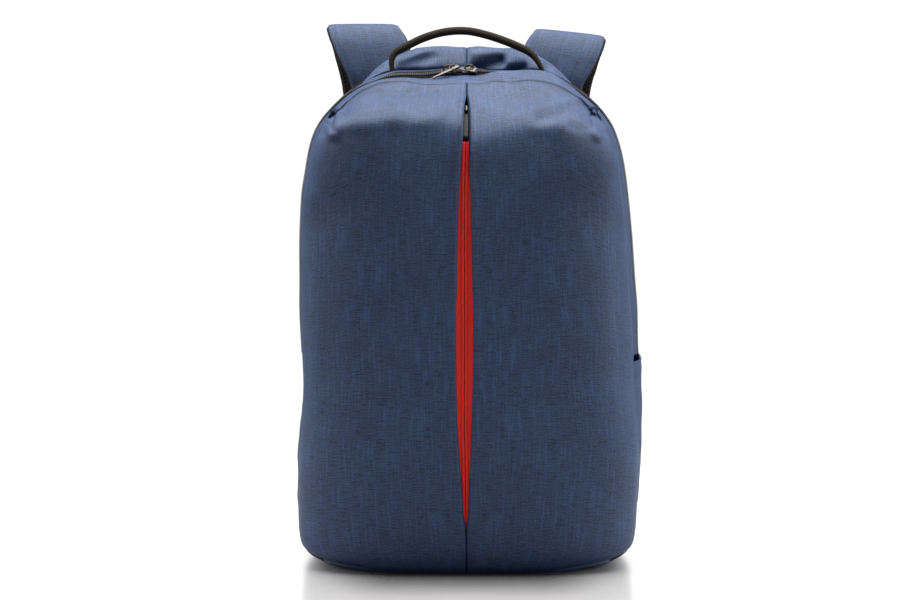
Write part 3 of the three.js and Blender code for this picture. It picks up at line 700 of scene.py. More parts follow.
# the two halves of the front, with their darts, folds and turned edges
front = {
    "across": 130, "up": 280, "thick": 1.6, "stitchIn": 4.5, "cornerLift": 6.8, "footDrop": 2.2,
    "hem": 1.0, "edgeRoll": 0.9, "shutRoll": 1.7, "sideRoll": 0.7, "sideSink": 1.5,  # turned and sewn edges
    "wave": 0.5, "crumple": 0.25, "pucker": 0.6,
}
hemRiseAt = curveThrough([  # how far the hem stands up over the strip behind it, from left to right
    (-122, 0), (-112, 1.2), (-100, 0.8), (-85, 0.4), (-60, 0.3), (-37, 0.7), (-15, 0.3), (0, 0), (12, 1.2),
    (22, 3), (34, 3), (54, 1.4), (70, 0.4), (85, 0.3), (99, 0.3), (109, 1.6), (116, 1.4), (122, 0),
])
frontFolds = {
    "left": [
        {"line": ((-118, 411), (-116.5, 391)), "out": -1.1, "wide": 1.5, "end": 0.5},
        {"line": ((-119.5, 410), (-117.5, 406)), "out": -1.7, "wide": 2.3},
        {"line": ((-126, 405), (-120, 402)), "out": -0.9, "wide": 1.6},
        {"line": ((-127, 399), (-120, 396)), "out": -0.8, "wide": 1.6},
        {"line": ((-124, 402), (-119.5, 391)), "out": 1.2, "wide": 4},
        {"line": ((-113, 408), (-112.5, 394)), "out": 1.2, "wide": 4},
        {"line": ((-117, 387.5), (-115.5, 388)), "out": 3.0, "wide": 3.4},
        {"line": ((-112, 397), (-60, 399)), "out": 1.8, "wide": 7, "end": 0.3},
        {"line": ((-42, 401), (-22, 406)), "out": 2.4, "wide": 8},
        {"line": ((-66, 404), (-24, 420)), "out": 1.4, "wide": 8},
        {"line": ((-78, 424), (-28, 426)), "out": -1.5, "wide": 2.6},
        {"line": ((-100, 409), (-62, 413)), "out": 0.9, "wide": 4},
        {"line": ((-138, 330), (-134, 150)), "out": 1.2, "wide": 9},
    ],
    "right": [
        {"line": ((105, 419), (112.5, 410)), "out": -1.4, "wide": 1.7},
        {"line": ((112.5, 410), (110, 404)), "out": -1.2, "wide": 1.6},
        {"line": ((110, 404), (110.5, 391)), "out": -0.7, "wide": 1.6},
        {"line": ((119, 404), (122, 394)), "out": 1.2, "wide": 4},
        {"line": ((110, 391), (114, 386)), "out": 2.4, "wide": 3.4},
        {"line": ((108, 396), (40, 397)), "out": 1.6, "wide": 8, "end": 0.5},
        {"line": ((58, 413), (106, 418)), "out": 1.5, "wide": 5},
        {"line": ((64, 403), (86, 409)), "out": -2.2, "wide": 5.5},
        {"line": ((40, 417), (60, 421)), "out": -1.7, "wide": 6},
        {"line": ((22, 410), (48, 406)), "out": 1.4, "wide": 8},
        {"line": ((92, 397), (108, 394)), "out": -1.6, "wide": 5},
        {"line": ((132, 350), (136, 170)), "out": -1.0, "wide": 6},
    ],
}


def lineAt(away, distance, points):
    return np.array([[np.interp(away, d, p[:, k]) for k in range(3)] for d, p in zip(distance, points)])


def makeFront(name, side):
    s, v = np.meshgrid(np.linspace(0, 1, front["across"] + 1), np.linspace(0, 1, front["up"] + 1))
    u = mix(s, (1 - np.cos(math.pi * s)) / 2, 0.75)
    points, full = frontAt(side, u, v)
    x, z = points[..., 0], points[..., 2]
    out = creaseField(x, z, frontFolds[name])
    out += front["wave"] * ripple(x, z, 90, 11) * full
    out += front["crumple"] * ripple(x, z, 34, 12) * smooth(z, 330, 400) * full
    fromSlit = side * (x - slitLeanAt(z)) - slitAt(z)
    opened = smooth(slitAt(z), 0.3, 1.4)
    out += opened * front["edgeRoll"] * (hump(fromSlit, 3.2, 2.4) - 2.2 * hump(fromSlit, 0, 0.8))
    out -= (1 - opened) * front["shutRoll"] * hump(fromSlit, 0, 0.7)
    lengths = np.linalg.norm(np.diff(points, axis=0), axis=2)
    fromTop = np.concatenate([np.cumsum(lengths[::-1], axis=0)[::-1], np.zeros((1, s.shape[1]))])
    out += front["hem"] * (hump(fromTop, 3.6, 2.6) - 2.2 * hump(fromTop, 0, 1.1))
    pucker = np.sin(x / 4.1 + 1.4 * np.sin(x / 13)) * (0.5 + 0.5 * np.sin(x / 19 + 1))
    out += front["pucker"] * pucker * np.exp(-fromTop / 8)
    rise = hemRiseAt(x) * np.exp(-((fromTop / 13) ** 2))
    widths = np.linalg.norm(np.diff(points, axis=1), axis=2)
    fromSide = np.cumsum(widths[:, ::-1], axis=1)[:, ::-1]
    fromSide = np.concatenate([fromSide, np.zeros((s.shape[0], 1))], axis=1)
    out += front["sideRoll"] * hump(fromSide, 4.5, 2.6) - front["sideSink"] * hump(fromSide, 0, 1.4)
    out *= smooth(z, 2, 12)
    points = points + gridNormals(points, bag["heart"]) * out[..., None]
    points[..., 1] += 0.5 * rise
    low = 1 - smooth(z, 3, 26)
    points[..., 2] += rise + low * (front["cornerLift"] * smooth(np.abs(x), 60, 128) - front["footDrop"])
    piece = layCloth(f"frontPanel_{name}", points, front["thick"])
    dress(piece, navyCloth, [f"front_panel_{name}"])
    bySlit = lineAt(front["stitchIn"], fromSlit, points)
    byHem = lineAt(front["stitchIn"] + 1, fromTop.T[:, ::-1], points.transpose(1, 0, 2)[:, ::-1])
    sewAlong(f"frontStitch_{name}", [(piece, bySlit[12:-8]), (piece, byHem[8:-6])], navyThread)


for name, side in sideOf.items():
    makeFront(name, side)
print("front made")


# the gusset: navy, black zip, navy, from one lower side over the top to the other
gusset = {
    "along": 420, "thick": 1.6, "tape": 1.0, "slack": 0.006, "zipProud": 0.4, "hem": 0.5,
    "topSink": 1.4, "sinkTo": (90, 150),  # the front strip sinks behind the hem
    "roll": 4.8, "rollOver": (6, 30, 66, 108), "rollAt": (0.72, 0.4),  # and rolls over the zip on the right
    "endPull": {-1: 1.4, 1: 3.4}, "wave": (0.25, 0.4),
}


def endPullAt(t):
    return bySide(t, gusset["endPull"][-1], gusset["endPull"][1]) * smooth(np.abs(t), 0.86, 1)


def gussetGrid(start, end, columns, outAt):
    w, t = np.meshgrid(np.linspace(0, 1, columns + 1), np.linspace(-1, 1, gusset["along"] + 1))
    share = mix(1.0, zipEndShare, np.abs(t))
    depth = mix(start, end, w)
    side = np.where(t < 0, -1.0, 1.0)
    return gussetAt(side, share, depth, outAt(w, t * outlineLength * (1 - zipEndShare)) - endPullAt(t))


def makeGusset():
    hem, (frontWave, rearWave) = gusset["hem"], gusset["wave"]

    def frontOut(w, far):
        sunk = gusset["topSink"] * (1 - smooth(np.abs(far), *gusset["sinkTo"])) * hump(w, 0, 0.12)
        rolled = gusset["roll"] * window(far, *gusset["rollOver"]) * hump(w, *gusset["rollAt"])
        waved = frontWave * ripple(far, w * 20, 40, 3) * np.sin(math.pi * w)
        return hem * hump(w, 0.82, 0.12) + waved + rolled - sunk

    def rearOut(w, far):
        return hem * hump(w, 0.07, 0.05) + rearWave * ripple(far, w * 40, 60, 4) * np.sin(math.pi * w)

    def zipOut(w, far):
        return gusset["zipProud"] * (1 + np.sin(math.pi * w))

    navyStrips = [
        ("gussetFront", 0.003, bag["zipFrom"] - gusset["slack"], 10, frontOut, "gusset_front"),
        ("gussetRear", bag["zipTo"] + gusset["slack"], 0.995, 22, rearOut, "gusset_rear"),
    ]
    runs = []
    for name, start, end, columns, outAt, node in navyStrips:
        points = gussetGrid(start, end, columns, outAt)
        piece = layCloth(name, points, gusset["thick"])
        runs.append((piece, points[2:-2, -3 if node == "gusset_front" else 2]))  # the row next to the zip
        dress(piece, navyCloth, [node])
    sewAlong("gussetStitch", runs, navyThread)
    tape = layCloth("mainZipTape", gussetGrid(bag["zipFrom"], bag["zipTo"], 8, zipOut), gusset["tape"])
    dress(tape, zipTape, ["main_zip_tape"])


# one turn of the main zip's coil, copied along the tape
mainCoil = {"pitch": 1.7, "long": 1.15, "wide": 3.8, "tall": 1.5}


def makeMainCoil():
    count = int(2 * outlineLength * (1 - zipEndShare) / mainCoil["pitch"])
    t = np.linspace(-1, 1, count)
    side, share = np.where(t < 0, -1.0, 1.0), mix(1.0, zipEndShare, np.abs(t))
    middle = (bag["zipFrom"] + bag["zipTo"]) / 2
    places = gussetAt(side, share, middle, 2 * gusset["zipProud"] + mainCoil["tall"] * 0.3 - endPullAt(t))
    along = unit(np.gradient(places, axis=0))
    across = unit(gussetAt(side, share, middle + 0.02) - gussetAt(side, share, middle - 0.02))
    outward = unit(np.cross(along, across))
    coil = copiesAlong("mainZipCoil", makeTooth(mainCoil), places, along, across, outward)
    roundOff(coil, 30)
    dress(coil, zipCoil)


makeGusset()
makeMainCoil()
print("gusset and main zip made")


# lower sides and the flat pockets over them
sides = {
    "mouth": 185.0, "mouthIn": {-1: 2.5, 1: 0.0}, "gap": 0.4, "thick": 1.6, "hem": 0.7, "wave": 0.4,
    "stitchDown": 12.0,
}


def makeSides(name, side):
    mouthShare = shareAtHeight(sides["mouth"])
    w, h = np.meshgrid(np.linspace(0.0, 0.995, 41), np.linspace(0, 1, 121))
    share = mouthShare * 0.995 * h
    z = outlineAt(share)[1]
    out = -sides["mouthIn"][side] * smooth(share, mouthShare * 0.6, mouthShare)
    hemmed = hump(z, sides["mouth"] - 7, 5) + hump(z, sides["mouth"] - 1, 1)
    out += sides["hem"] * hemmed + sides["wave"] * ripple(w * 80, z, 45, 21 + side)
    pocket = layCloth(f"sidePocket_{name}", gussetAt(side, share, w, out), sides["thick"])
    dress(pocket, navyCloth, [f"side_pocket_{name}"])
    stitchShare = shareAtHeight(sides["mouth"] - sides["stitchDown"])
    mouth = gussetAt(side, stitchShare, np.linspace(0.02, 0.98, 60), 3.0)
    sewAlong(f"pocketStitch_{name}", [(pocket, mouth)], navyThread)
    share = (zipEndShare - 0.002) * h
    behind = 1 - smooth(share, mouthShare, zipEndShare)  # where the pocket covers the panel
    inset = -sides["mouthIn"][side] * smooth(share, mouthShare * 0.6, mouthShare) * behind
    inset -= 2.0 + sides["gap"] + 1.2 * behind
    inset -= gusset["endPull"][side] * smooth(share, mouthShare * 0.9, mouthShare)
    panel = layCloth(f"sidePanel_{name}", gussetAt(side, share, w, inset), sides["thick"])
    dress(panel, navyCloth, [f"side_panel_{name}"])


for name, side in sideOf.items():
    makeSides(name, side)


# the base, flat on the floor
base = {
    "thick": 2.5, "bevel": 0.8, "back": 59.0, "tuck": 7.0, "lift": 3.2,
    "roll": (2.3, 2.9), "rollIn": 2.2, "rollEnd": 52.0,  # the sewn rim
}


def footLiftAt(x, y):  # the front corners don't reach the floor
    return base["lift"] * smooth(np.abs(x), 80, 122) * (1 - smooth(y, -10, 40))


def makeBase():
    s, w = np.meshgrid(np.linspace(-1, 1, 81), np.linspace(0, 1, 41))
    foot = outlineRows[0][0]
    x = (foot - base["tuck"]) * np.sin(s * math.pi / 2)
    edge, _ = frontAt(1, np.abs(s[0]), np.zeros(s.shape[1]))
    y = mix(edge[:, 1][None, :] + base["tuck"], base["back"], w)
    points = np.stack([x, y, base["thick"] + footLiftAt(x, y)], -1)
    piece = layGrid("basePanel", points, (0, 0, -200))
    applyModifier(piece, "SOLIDIFY", thickness=base["thick"] * mm, offset=-1.0)
    bevel = {"width": base["bevel"] * mm, "segments": 2, "angle_limit": math.radians(50)}
    applyModifier(piece, "BEVEL", limit_method="ANGLE", **bevel)
    roundOff(piece)
    dress(piece, navyCloth, ["base_panel"])


# the padded back: two upright channels and three level ones, with piping round it
back = {
    "rimGap": 0.6, "corner": 0.86, "edge": 3.0, "full": 6.0, "wall": 2.4, "puff": (1.0, 2.4), "piping": 1.9,
    "spine": 34.0, "levels": (130, 250, 370), "channel": 2.4, "channelWide": 3.0,
}


def makeBack():
    s, v = np.meshgrid(np.linspace(-1, 1, 121), np.linspace(0, 1, 181))
    side, far = np.where(s < 0, -1.0, 1.0), np.abs(s)
    turned = np.stack([side, np.ones_like(s), np.ones_like(s)], -1)

    def at(share):
        return gussetAt(side, share + 0 * s, 1.0, -back["rimGap"]) * turned

    foot, corner, head = at(0.0), at(back["corner"]), at(1.0)
    edge, arch = at(back["corner"] * v), at(mix(1.0, back["corner"], far))

    def blend(k, low, high):
        first = mix(low, foot[..., k], far)
        last = mix(first, mix(high, corner[..., k], far), v)
        return mix(first, arch[..., k], v) + mix(mix(low, high, v), edge[..., k], far) - last

    x = side * blend(0, 0 * s, 0 * s)
    z = blend(2, foot[..., 2], head[..., 2])
    crown = (1 - s**6) * (1 - (2 * v - 1) ** 16)
    thick = mix(back["edge"], back["full"], crown)
    upright = hump(np.abs(x), back["spine"], back["channelWide"])
    level = sum(hump(z, k, back["channelWide"]) for k in back["levels"])
    thick -= back["channel"] * crown * np.maximum(upright, level * smooth(np.abs(x), 30, 38))
    y = bag["back"] + bag["seamGap"] + thick
    piece = layGrid("backPanel", np.stack([x, y, z], -1), bag["heart"])

    def sewn(at):
        off = np.abs(at[:, 0])
        onSpine = np.abs(off - back["spine"]) < 2.2
        onLevel = np.min([np.abs(at[:, 2] - k) for k in back["levels"]], axis=0) < 2.0
        return onSpine | (onLevel & (off > back["spine"])) | (at[:, 1] < bag["back"] + back["edge"] + 1.2)

    puff(piece, sewn, *back["puff"])
    applyModifier(piece, "SOLIDIFY", thickness=back["wall"] * mm, offset=-1.0)
    roundOff(piece)
    dress(piece, blackMesh, ["back_panel"])


def makePiping():
    share = np.concatenate([np.linspace(0, 1, 260), np.linspace(1, 0, 260)[1:]])
    side = np.where(np.arange(len(share)) < 260, -1.0, 1.0)
    rim = gussetAt(side, share, 1.0, 0.4)
    foot = np.linspace(0, 1, 60)[:, None]
    bottom = np.array([0, rim[0, 1], rim[0, 2]])
    path = np.concatenate([mix(bottom, rim[0], foot)[:-1], rim, mix(rim[-1], bottom, foot)[1:]])
    path = evenly(path + np.array([0, 0.6, 0]), 560)
    piece = pipeAlong("backPiping", path, np.full(len(path), back["piping"]), (0, 1.0, 0))
    dress(piece, blackWebbing)


# the base's sewn rim, which shows as a roll under the lifted corners
def makeBaseRoll():
    u, low = np.linspace(1, 0, 90), np.zeros(90)
    left, right = frontAt(-1, u, low)[0], frontAt(1, u, low)[0][::-1]
    ends = [[[p[0], base["rollEnd"], p[2]]] for p in (left[0], right[-1])]
    path = evenly(np.concatenate([ends[0], left[:-1], right, ends[1]]), 420)
    radius = mix(*base["roll"], smooth(np.abs(path[:, 0]), 70, 118))
    along = unit(np.gradient(path, axis=0))
    path = path + base["rollIn"] * unit(np.cross((0, 0, 1.0), along))
    path[:, 2] = radius + 0.1 + footLiftAt(path[:, 0], path[:, 1])
    dress(pipeAlong("baseRoll", path, radius, (0, 0, 1.0)), navyCloth)


makeBase()
makeBaseRoll()
makeBack()
makePiping()
print("sides, base and back made")


# red zip behind the slit: two woven tapes whose coils press through in ribs
redZip = {
    "half": 15.0, "gap": 0.25, "thick": 1.0, "foot": 32.0, "head": 418.0,
    "edgeDepth": 2.2, "midDepth": 3.4, "headSink": 9.0, "footSink": 4.0,  # how far behind the front it lies
    "rib": 1.5, "coilAt": 1.7, "coilTall": 0.55, "ribTall": 0.35, "groove": 0.35,
}


def zipFrames(z):
    slope = (profileAt(z + 1.0) - profileAt(z - 1.0)) / 2.0
    along = unit(np.stack([0 * z, slope, 1 + 0 * z], -1))
    inward = np.stack([0 * z, along[..., 2], -along[..., 1]], -1)
    origin = np.stack([0 * z, profileAt(z) - bag["seamGap"], z], -1)
    return origin, along, inward


def makeRedZip(name, side):
    across = np.concatenate([np.linspace(0, 0.35, 22), np.linspace(0.4, 1, 10)])
    z = np.linspace(redZip["foot"], redZip["head"], 1400)
    u, zz = np.meshgrid(across, z)
    origin, _, inward = zipFrames(zz)
    x = mix(redZip["gap"], redZip["half"], u)
    depth = mix(redZip["midDepth"], redZip["edgeDepth"], smooth(u, 0.35, 1))
    depth += redZip["headSink"] * smooth(zz, 383, 394)
    depth += redZip["footSink"] * (1 - smooth(zz, 34, 50))
    rib = np.abs(np.sin(math.pi * zz / redZip["rib"] + (0 if side < 0 else math.pi / 2)))
    depth = depth - redZip["coilTall"] * hump(x, redZip["coilAt"], 1.3)
    depth = depth - redZip["ribTall"] * rib * hump(x, redZip["coilAt"], 1.1)
    depth = depth + redZip["groove"] * hump(x, 3.6, 0.35)
    points = origin + inward * depth[..., None]
    points[..., 0] = side * x + slitLeanAt(zz)
    piece = layCloth(f"redZip_{name}", points, redZip["thick"], 60)
    dress(piece, redTape, [f"front_zip_tape_{name}"])


for name, side in sideOf.items():
    makeRedZip(name, side)
print("red zip made")


# sliders and pulls, each made flat at the origin and then set on its zip
def makeBlock(name, size, rounding, taper=1.0):
    bpy.ops.object.select_all(action="DESELECT")
    bpy.ops.mesh.primitive_cube_add(size=1.0)
    block = bpy.context.object
    block.name = block.data.name = name
    block.data.transform(Matrix.Diagonal((size[0] * mm, size[1] * mm, size[2] * mm, 1)))
    for vertex in block.data.vertices:
        if vertex.co.x > 0:
            vertex.co.y *= taper
    inEditMode(block, lambda: bpy.ops.mesh.bevel(offset=rounding * mm, segments=4, affect="EDGES"))
    return block


def makeRing(name, across, tall, bar):
    bpy.ops.object.select_all(action="DESELECT")
    bpy.ops.mesh.primitive_torus_add(
        major_radius=across * mm / 2, minor_radius=bar * mm / 2, major_segments=40, minor_segments=14
    )
    ring = bpy.context.object
    ring.name = ring.data.name = name
    ring.data.transform(Matrix.Diagonal((tall / across, 1, 1, 1)))
    return ring


def setAt(piece, origin, along, outward):
    x = Vector(along).normalized()
    z = (Vector(outward) - x * x.dot(Vector(outward))).normalized()
    y = z.cross(x)
    turn = Matrix((x, y, z)).transposed().to_4x4()
    piece.data.transform(Matrix.Translation(Vector(origin) * mm) @ turn)
    return piece


def shift(piece, x=0.0, y=0.0, z=0.0):
    piece.data.transform(Matrix.Translation(Vector((x, y, z)) * mm))
    return piece


def turnUp(piece, axis, angle):
    piece.data.transform(Matrix.Rotation(math.radians(angle), 4, axis))
    return piece


# the red zip's slider and its plain grey tab
frontPull = {
    "axis": (-0.4, -36.0, 409.2), "down": (-0.7, -27.0, -25.0), "outward": (0, -0.68, 0.73),
    "body": (8.0, 6.0, 2.4), "bodyAt": (-1.5, 0, -2.6), "bail": (7.4, 3.1, 3.0), "bailAt": (-1.4, 0, 0.6),
    "tab": (27.4, 4.3, 1.4), "tabStart": 5.0, "eye": (3.8, 5.4, 1.0), "eyeAt": 3.2,
    "foot": (3.8, 5.4, 2.2), "footOn": 1.5,
}


def makeFrontPull():
    axis, down, outward = frontPull["axis"], frontPull["down"], frontPull["outward"]
    body = shift(makeBlock("frontSlider", frontPull["body"], rounding=0.7), *frontPull["bodyAt"])
    bail = shift(makeBlock("frontBail", frontPull["bail"], rounding=1.2), *frontPull["bailAt"])
    slider = setAt(joinUp(body, bail), axis, down, outward)
    roundOff(slider, 50)
    dress(slider, gunmetal, ["front_zip_slider"])
    length = frontPull["tab"][0]
    middle = frontPull["tabStart"] + length / 2
    tab = shift(makeBlock("frontPullTab", frontPull["tab"], rounding=0.35, taper=1.12), middle)
    eye = shift(makeRing("frontPullEye", *frontPull["eye"]), frontPull["eyeAt"])
    tab = setAt(joinUp(tab, eye), axis, down, outward)
    roundOff(tab, 50)
    dress(tab, tabGrey, ["front_zip_pull"], body="front_pull")
    foot = makeBlock("frontPullFoot", frontPull["foot"], rounding=0.5)
    shift(foot, middle + length / 2 + frontPull["footOn"])
    setAt(foot, axis, down, outward)
    roundOff(foot, 50)
    dress(foot, zipTape, body="front_pull")


# the main zip's two sliders, and the bars that hang on them
mainPulls = {
    "left": {
        "slider": -16.5, "from": (-7.0, 12.5, 447.2), "to": (-30.3, 2.0, 436.6), "outward": (0, -0.6, 0.8),
        "wide": 3.8, "thick": 1.6, "taper": 0.5, "hinge": 8.4, "eye": (-12.5, 14.5, 446.4),
    },
    "right": {
        "slider": 2.5, "from": (8.2, 10.2, 443.2), "to": (-6.4, 18.5, 445.2), "outward": (0, -0.72, 0.69),
        "wide": 5.6, "thick": 1.8, "taper": 0.8, "hinge": 7.0, "eye": (4.5, 13.5, 445.0),
    },
}
mainSlider = {
    "body": (13.0, 8.2, 1.6), "bodyUp": 0.6, "cap": (10.0, 5.4, 1.1), "capUp": 1.8, "bail": (9.6, 8.6, 1.6),
    "bailUp": 2.0, "eye": (5.4, 6.6, 1.4), "behindHinge": 1.0, "depth": 0.345, "proud": 0.6,
    "tilt": (0, -0.5, 0.85),
}


def makeMainPull(name):
    own = mainPulls[name]
    along = Vector(own["to"]) - Vector(own["from"])

    def bar(label, start, end):  # a length of the tapered bar
        first, last = (own["wide"] * mix(1.0, own["taper"], at / along.length) for at in (start, end))
        size = (end - start, first, own["thick"])
        block = makeBlock(f"{label}_{name}", size, rounding=0.55, taper=last / first)
        middle = Vector(own["from"]) + along.normalized() * (start + end) / 2
        return setAt(block, middle, along, own["outward"])

    split = own["hinge"] - mainSlider["behindHinge"]  # what lies behind it stays with the slider
    pull = bar("mainPull", split, along.length)
    roundOff(pull, 50)
    dress(pull, gunmetal, [f"main_zip_pull_{name}"], body=f"main_pull_{name}")
    bridge = bar("mainBridge", 0.0, split)
    eye = setAt(makeRing(f"mainEye_{name}", *mainSlider["eye"]), own["eye"], along, own["outward"])
    body = shift(makeBlock(f"mainSlider_{name}", mainSlider["body"], rounding=0.7), z=mainSlider["bodyUp"])
    cap = shift(makeBlock(f"mainSliderCap_{name}", mainSlider["cap"], rounding=0.45), z=mainSlider["capUp"])
    bail = shift(turnUp(makeRing(f"mainBail_{name}", *mainSlider["bail"]), "X", 90), z=mainSlider["bailUp"])
    side, share = -1.0 if own["slider"] < 0 else 1.0, 1 - abs(own["slider"]) / outlineLength
    place = gussetAt(side, share, mainSlider["depth"], mainSlider["proud"])
    slider = joinUp(setAt(joinUp(body, cap, bail), place, (1, 0, 0), mainSlider["tilt"]), bridge, eye)
    roundOff(slider, 50)
    dress(slider, gunmetal, [f"main_zip_slider_{name}"])


makeFrontPull()
for name in mainPulls:
    makeMainPull(name)
print("sliders and pulls made")


# the padded roll behind the handle
yoke = {
    "front": 40.0, "rear": 63.0, "ridge": 463.6, "ridgeHalf": 46.0, "footHalf": 95.0, "footRise": 1.0,
    "lean": 15.0, "wave": 0.9, "seam": (1.6, 1.0), "puff": (2.0, 2.0), "puffOver": 22.0, "stations": 80,
    "around": 56,
}
yokeFolds = [
    {"line": ((9, 443), (31, 450)), "out": -8.0, "wide": 6},
    {"line": ((40, 442), (52, 444.5)), "out": -6.5, "wide": 5},
    {"line": ((35, 444), (37, 450)), "out": 2.5, "wide": 3.5},
    {"line": ((8, 458), (26, 460)), "out": 2.0, "wide": 4.5},
    {"line": ((58, 444), (66, 452)), "out": 1.8, "wide": 5},
    {"line": ((70, 440), (76, 447)), "out": -2.2, "wide": 4},
    {"line": ((-63, 452), (-37, 461)), "out": 2.2, "wide": 4.5},
    {"line": ((-58, 446), (-30, 454)), "out": -2.2, "wide": 5},
    {"line": ((-62, 441), (-45, 441)), "out": -3.0, "wide": 4},
]


def makeYoke(name, side):
    turns = np.arange(yoke["around"]) * 2 * math.pi / yoke["around"]
    k, a = np.meshgrid(np.linspace(0, 1, yoke["stations"] + 1), turns, indexing="ij")
    x = mix(0.0, yoke["footHalf"], k)
    ground = gussetAt(1, 1 - x / outlineLength, 0.9)[..., 2] + 0.1
    ridge = yoke["ridge"] + yoke["wave"] * np.sin(x / 9.0 + side) * smooth(x, 2, 12)
    falls = np.clip((x - yoke["ridgeHalf"]) / (yoke["footHalf"] - yoke["ridgeHalf"]), 0, 1)
    ridge = mix(ridge, ground + yoke["footRise"], falls)
    bow, reach = squarer(np.sin(a), 0.7), squarer(np.cos(a), 0.7)
    high = (1 + bow) / 2
    z = mix(ground, ridge, high)
    fold = creaseField(side * x, z, yokeFolds) - yoke["seam"][0] * hump(x, 0, 1.4)
    y = mix(yoke["front"] + yoke["lean"] * high - fold, yoke["rear"], (1 + reach) / 2)
    z = z - yoke["seam"][1] * hump(x, 0, 1.2) * high
    piece = layTube(f"yokeRoll_{name}", np.stack([side * x, y, z], -1))

    def sewn(at):
        off = np.abs(at[:, 0])
        return (off < 1.5) | (off > yoke["footHalf"] - 3) | (at[:, 2] < yoke["ridge"] - yoke["puffOver"])

    puff(piece, sewn, *yoke["puff"])
    roundOff(piece, 60)
    dress(piece, navyCloth, [f"yoke_{name}"])


for name, side in sideOf.items():
    makeYoke(name, side)


# carry handle of folded ribbed webbing
handle = {"y": 27.0, "lean": 4.0, "settle": 2.1, "tall": 7.2, "footTall": 4.6, "deep": 13.0}
handleRows = [
    (-66.6, 436), (-67.2, 442), (-67.8, 449.6), (-67.2, 455.3), (-64, 461), (-57.5, 465), (-48.4, 469.8),
    (-37.1, 474.8), (-23.4, 478.8), (-9.7, 480.6), (3.9, 480), (17.6, 476.9), (31.2, 472.6), (44.9, 467.2),
    (55.1, 462), (61.9, 455.3), (65.8, 448.5), (68.1, 442.7), (69, 436),
]


def makeHandle():
    line = evenly(splineThrough([(x, 0, z) for x, z in handleRows], 3000), 190)
    line[:, 1] = handle["y"] + handle["lean"] * smooth(line[:, 2], 440, 480)
    line[:, 2] -= handle["settle"] * smooth(line[:, 2], 440, 468)
    along = unit(np.gradient(line, axis=0))
    deep = np.array([0, 1.0, 0])
    tall = unit(np.cross(along, deep))
    angle = np.arange(28) * 2 * math.pi / 28
    rise = squarer(np.sin(angle), 0.8) / 2
    wide = np.cos(angle) * handle["deep"] / 2
    thick = mix(handle["footTall"], handle["tall"], smooth(line[:, 2], 446, 466))
    rings = line[:, None] + tall[:, None] * (thick[:, None] * rise[None])[..., None]
    rings = rings + deep * wide[None, :, None]
    piece = layTube("carryHandle", rings)
    roundOff(piece, 60)
    dress(piece, blackWebbing, ["carry_handle"])


makeHandle()
print("yoke and handle made")


# shoulder straps: navy shell outside, black mesh lining inside
strap = {
    "shell": 5.0, "lining": 4.0, "gap": 0.3, "stations": 150, "seam": 4.0, "binding": 1.5, "bindingTall": 1.5,
    "shellCrown": 0.1, "shellPuff": (1.6, 1.8), "liningPuff": (1.2, 1.4), "rollOver": (0, 0.15, 0.35, 0.6),
}
strapRows = [  # x, y, z and half width, from the yoke over the top and down the back
    (76, 70, 396, 26), (78.5, 68.5, 430, 28.5), (84, 71.5, 450, 32.5), (90.5, 78, 468, 34.5),
    (96, 87, 478.5, 32.5), (96.5, 96, 474.5, 31.5), (91.5, 102, 454, 30.5), (84.5, 107, 415, 30),
    (87.5, 111, 340, 30), (95, 107, 260, 29.5), (99, 100.6, 214, 27.5), (101, 97, 190, 19),
]
strapSides = {
    "left": {"side": -1, "lift": 0.5, "roll": 0, "inward": (4.2, 0.6)},
    "right": {"side": 1, "lift": -6.8, "roll": -6, "inward": (4.8, 1.2)},
}


def strapLine(name):
    own = strapSides[name]
    rows = np.array(strapRows, float)
    inward = mix(*own["inward"], smooth(rows[:, 2], 300, 430))
    rows[:, 0] = own["side"] * (rows[:, 0] - inward)
    rows[:, 2] += own["lift"] * smooth(rows[:, 2], 400, 480)
    dense = splineThrough(rows, 3000)
    far = np.concatenate([[0], np.cumsum(np.linalg.norm(np.diff(dense[:, :3], axis=0), axis=1))])
    at = np.linspace(0, far[-1], strap["stations"])
    line = np.stack([np.interp(at, far, dense[:, i]) for i in range(4)], -1)
    along = unit(np.gradient(line[:, :3], axis=0))
    out = unit(np.stack([0 * at, -along[:, 2], along[:, 1]], -1))
    roll = math.radians(own["roll"]) * own["side"] * window(at / far[-1], *strap["rollOver"])
    across = np.stack([np.cos(roll), 0 * roll, np.sin(roll)], -1)
    return line, along, out, across


def strapRings(name, low, high, crown):
    line, _, out, across = strapLine(name)
    a = np.arange(40) * 2 * math.pi / 40
    flat, tall = squarer(np.cos(a), 0.35), squarer(np.sin(a), 0.6)
    middle, half = (low + high) / 2, (high - low) / 2
    swell = half * tall * (1 + crown * (1 - flat**2) * (tall > 0))
    sideways = across[:, None] * (line[:, 3:4] * flat[None])[..., None]
    return line[:, None, :3] + sideways + out[:, None] * (middle + swell)[None, :, None]


def strapSewn(name):
    line, _, _, across = strapLine(name)

    def sewn(at):
        near = np.argmin(((at[:, None] - line[None, :, :3]) ** 2).sum(-1), axis=1)
        off = np.abs(np.sum((at - line[near, :3]) * across[near], axis=1))
        return (off > line[near, 3] - strap["seam"]) | (near < 4) | (near > strap["stations"] - 5)

    return sewn


def strapEdge(name, edge, inset, up):
    line, _, out, across = strapLine(name)
    return line[:, :3] + across * edge * (line[:, 3:4] - inset) + out * up


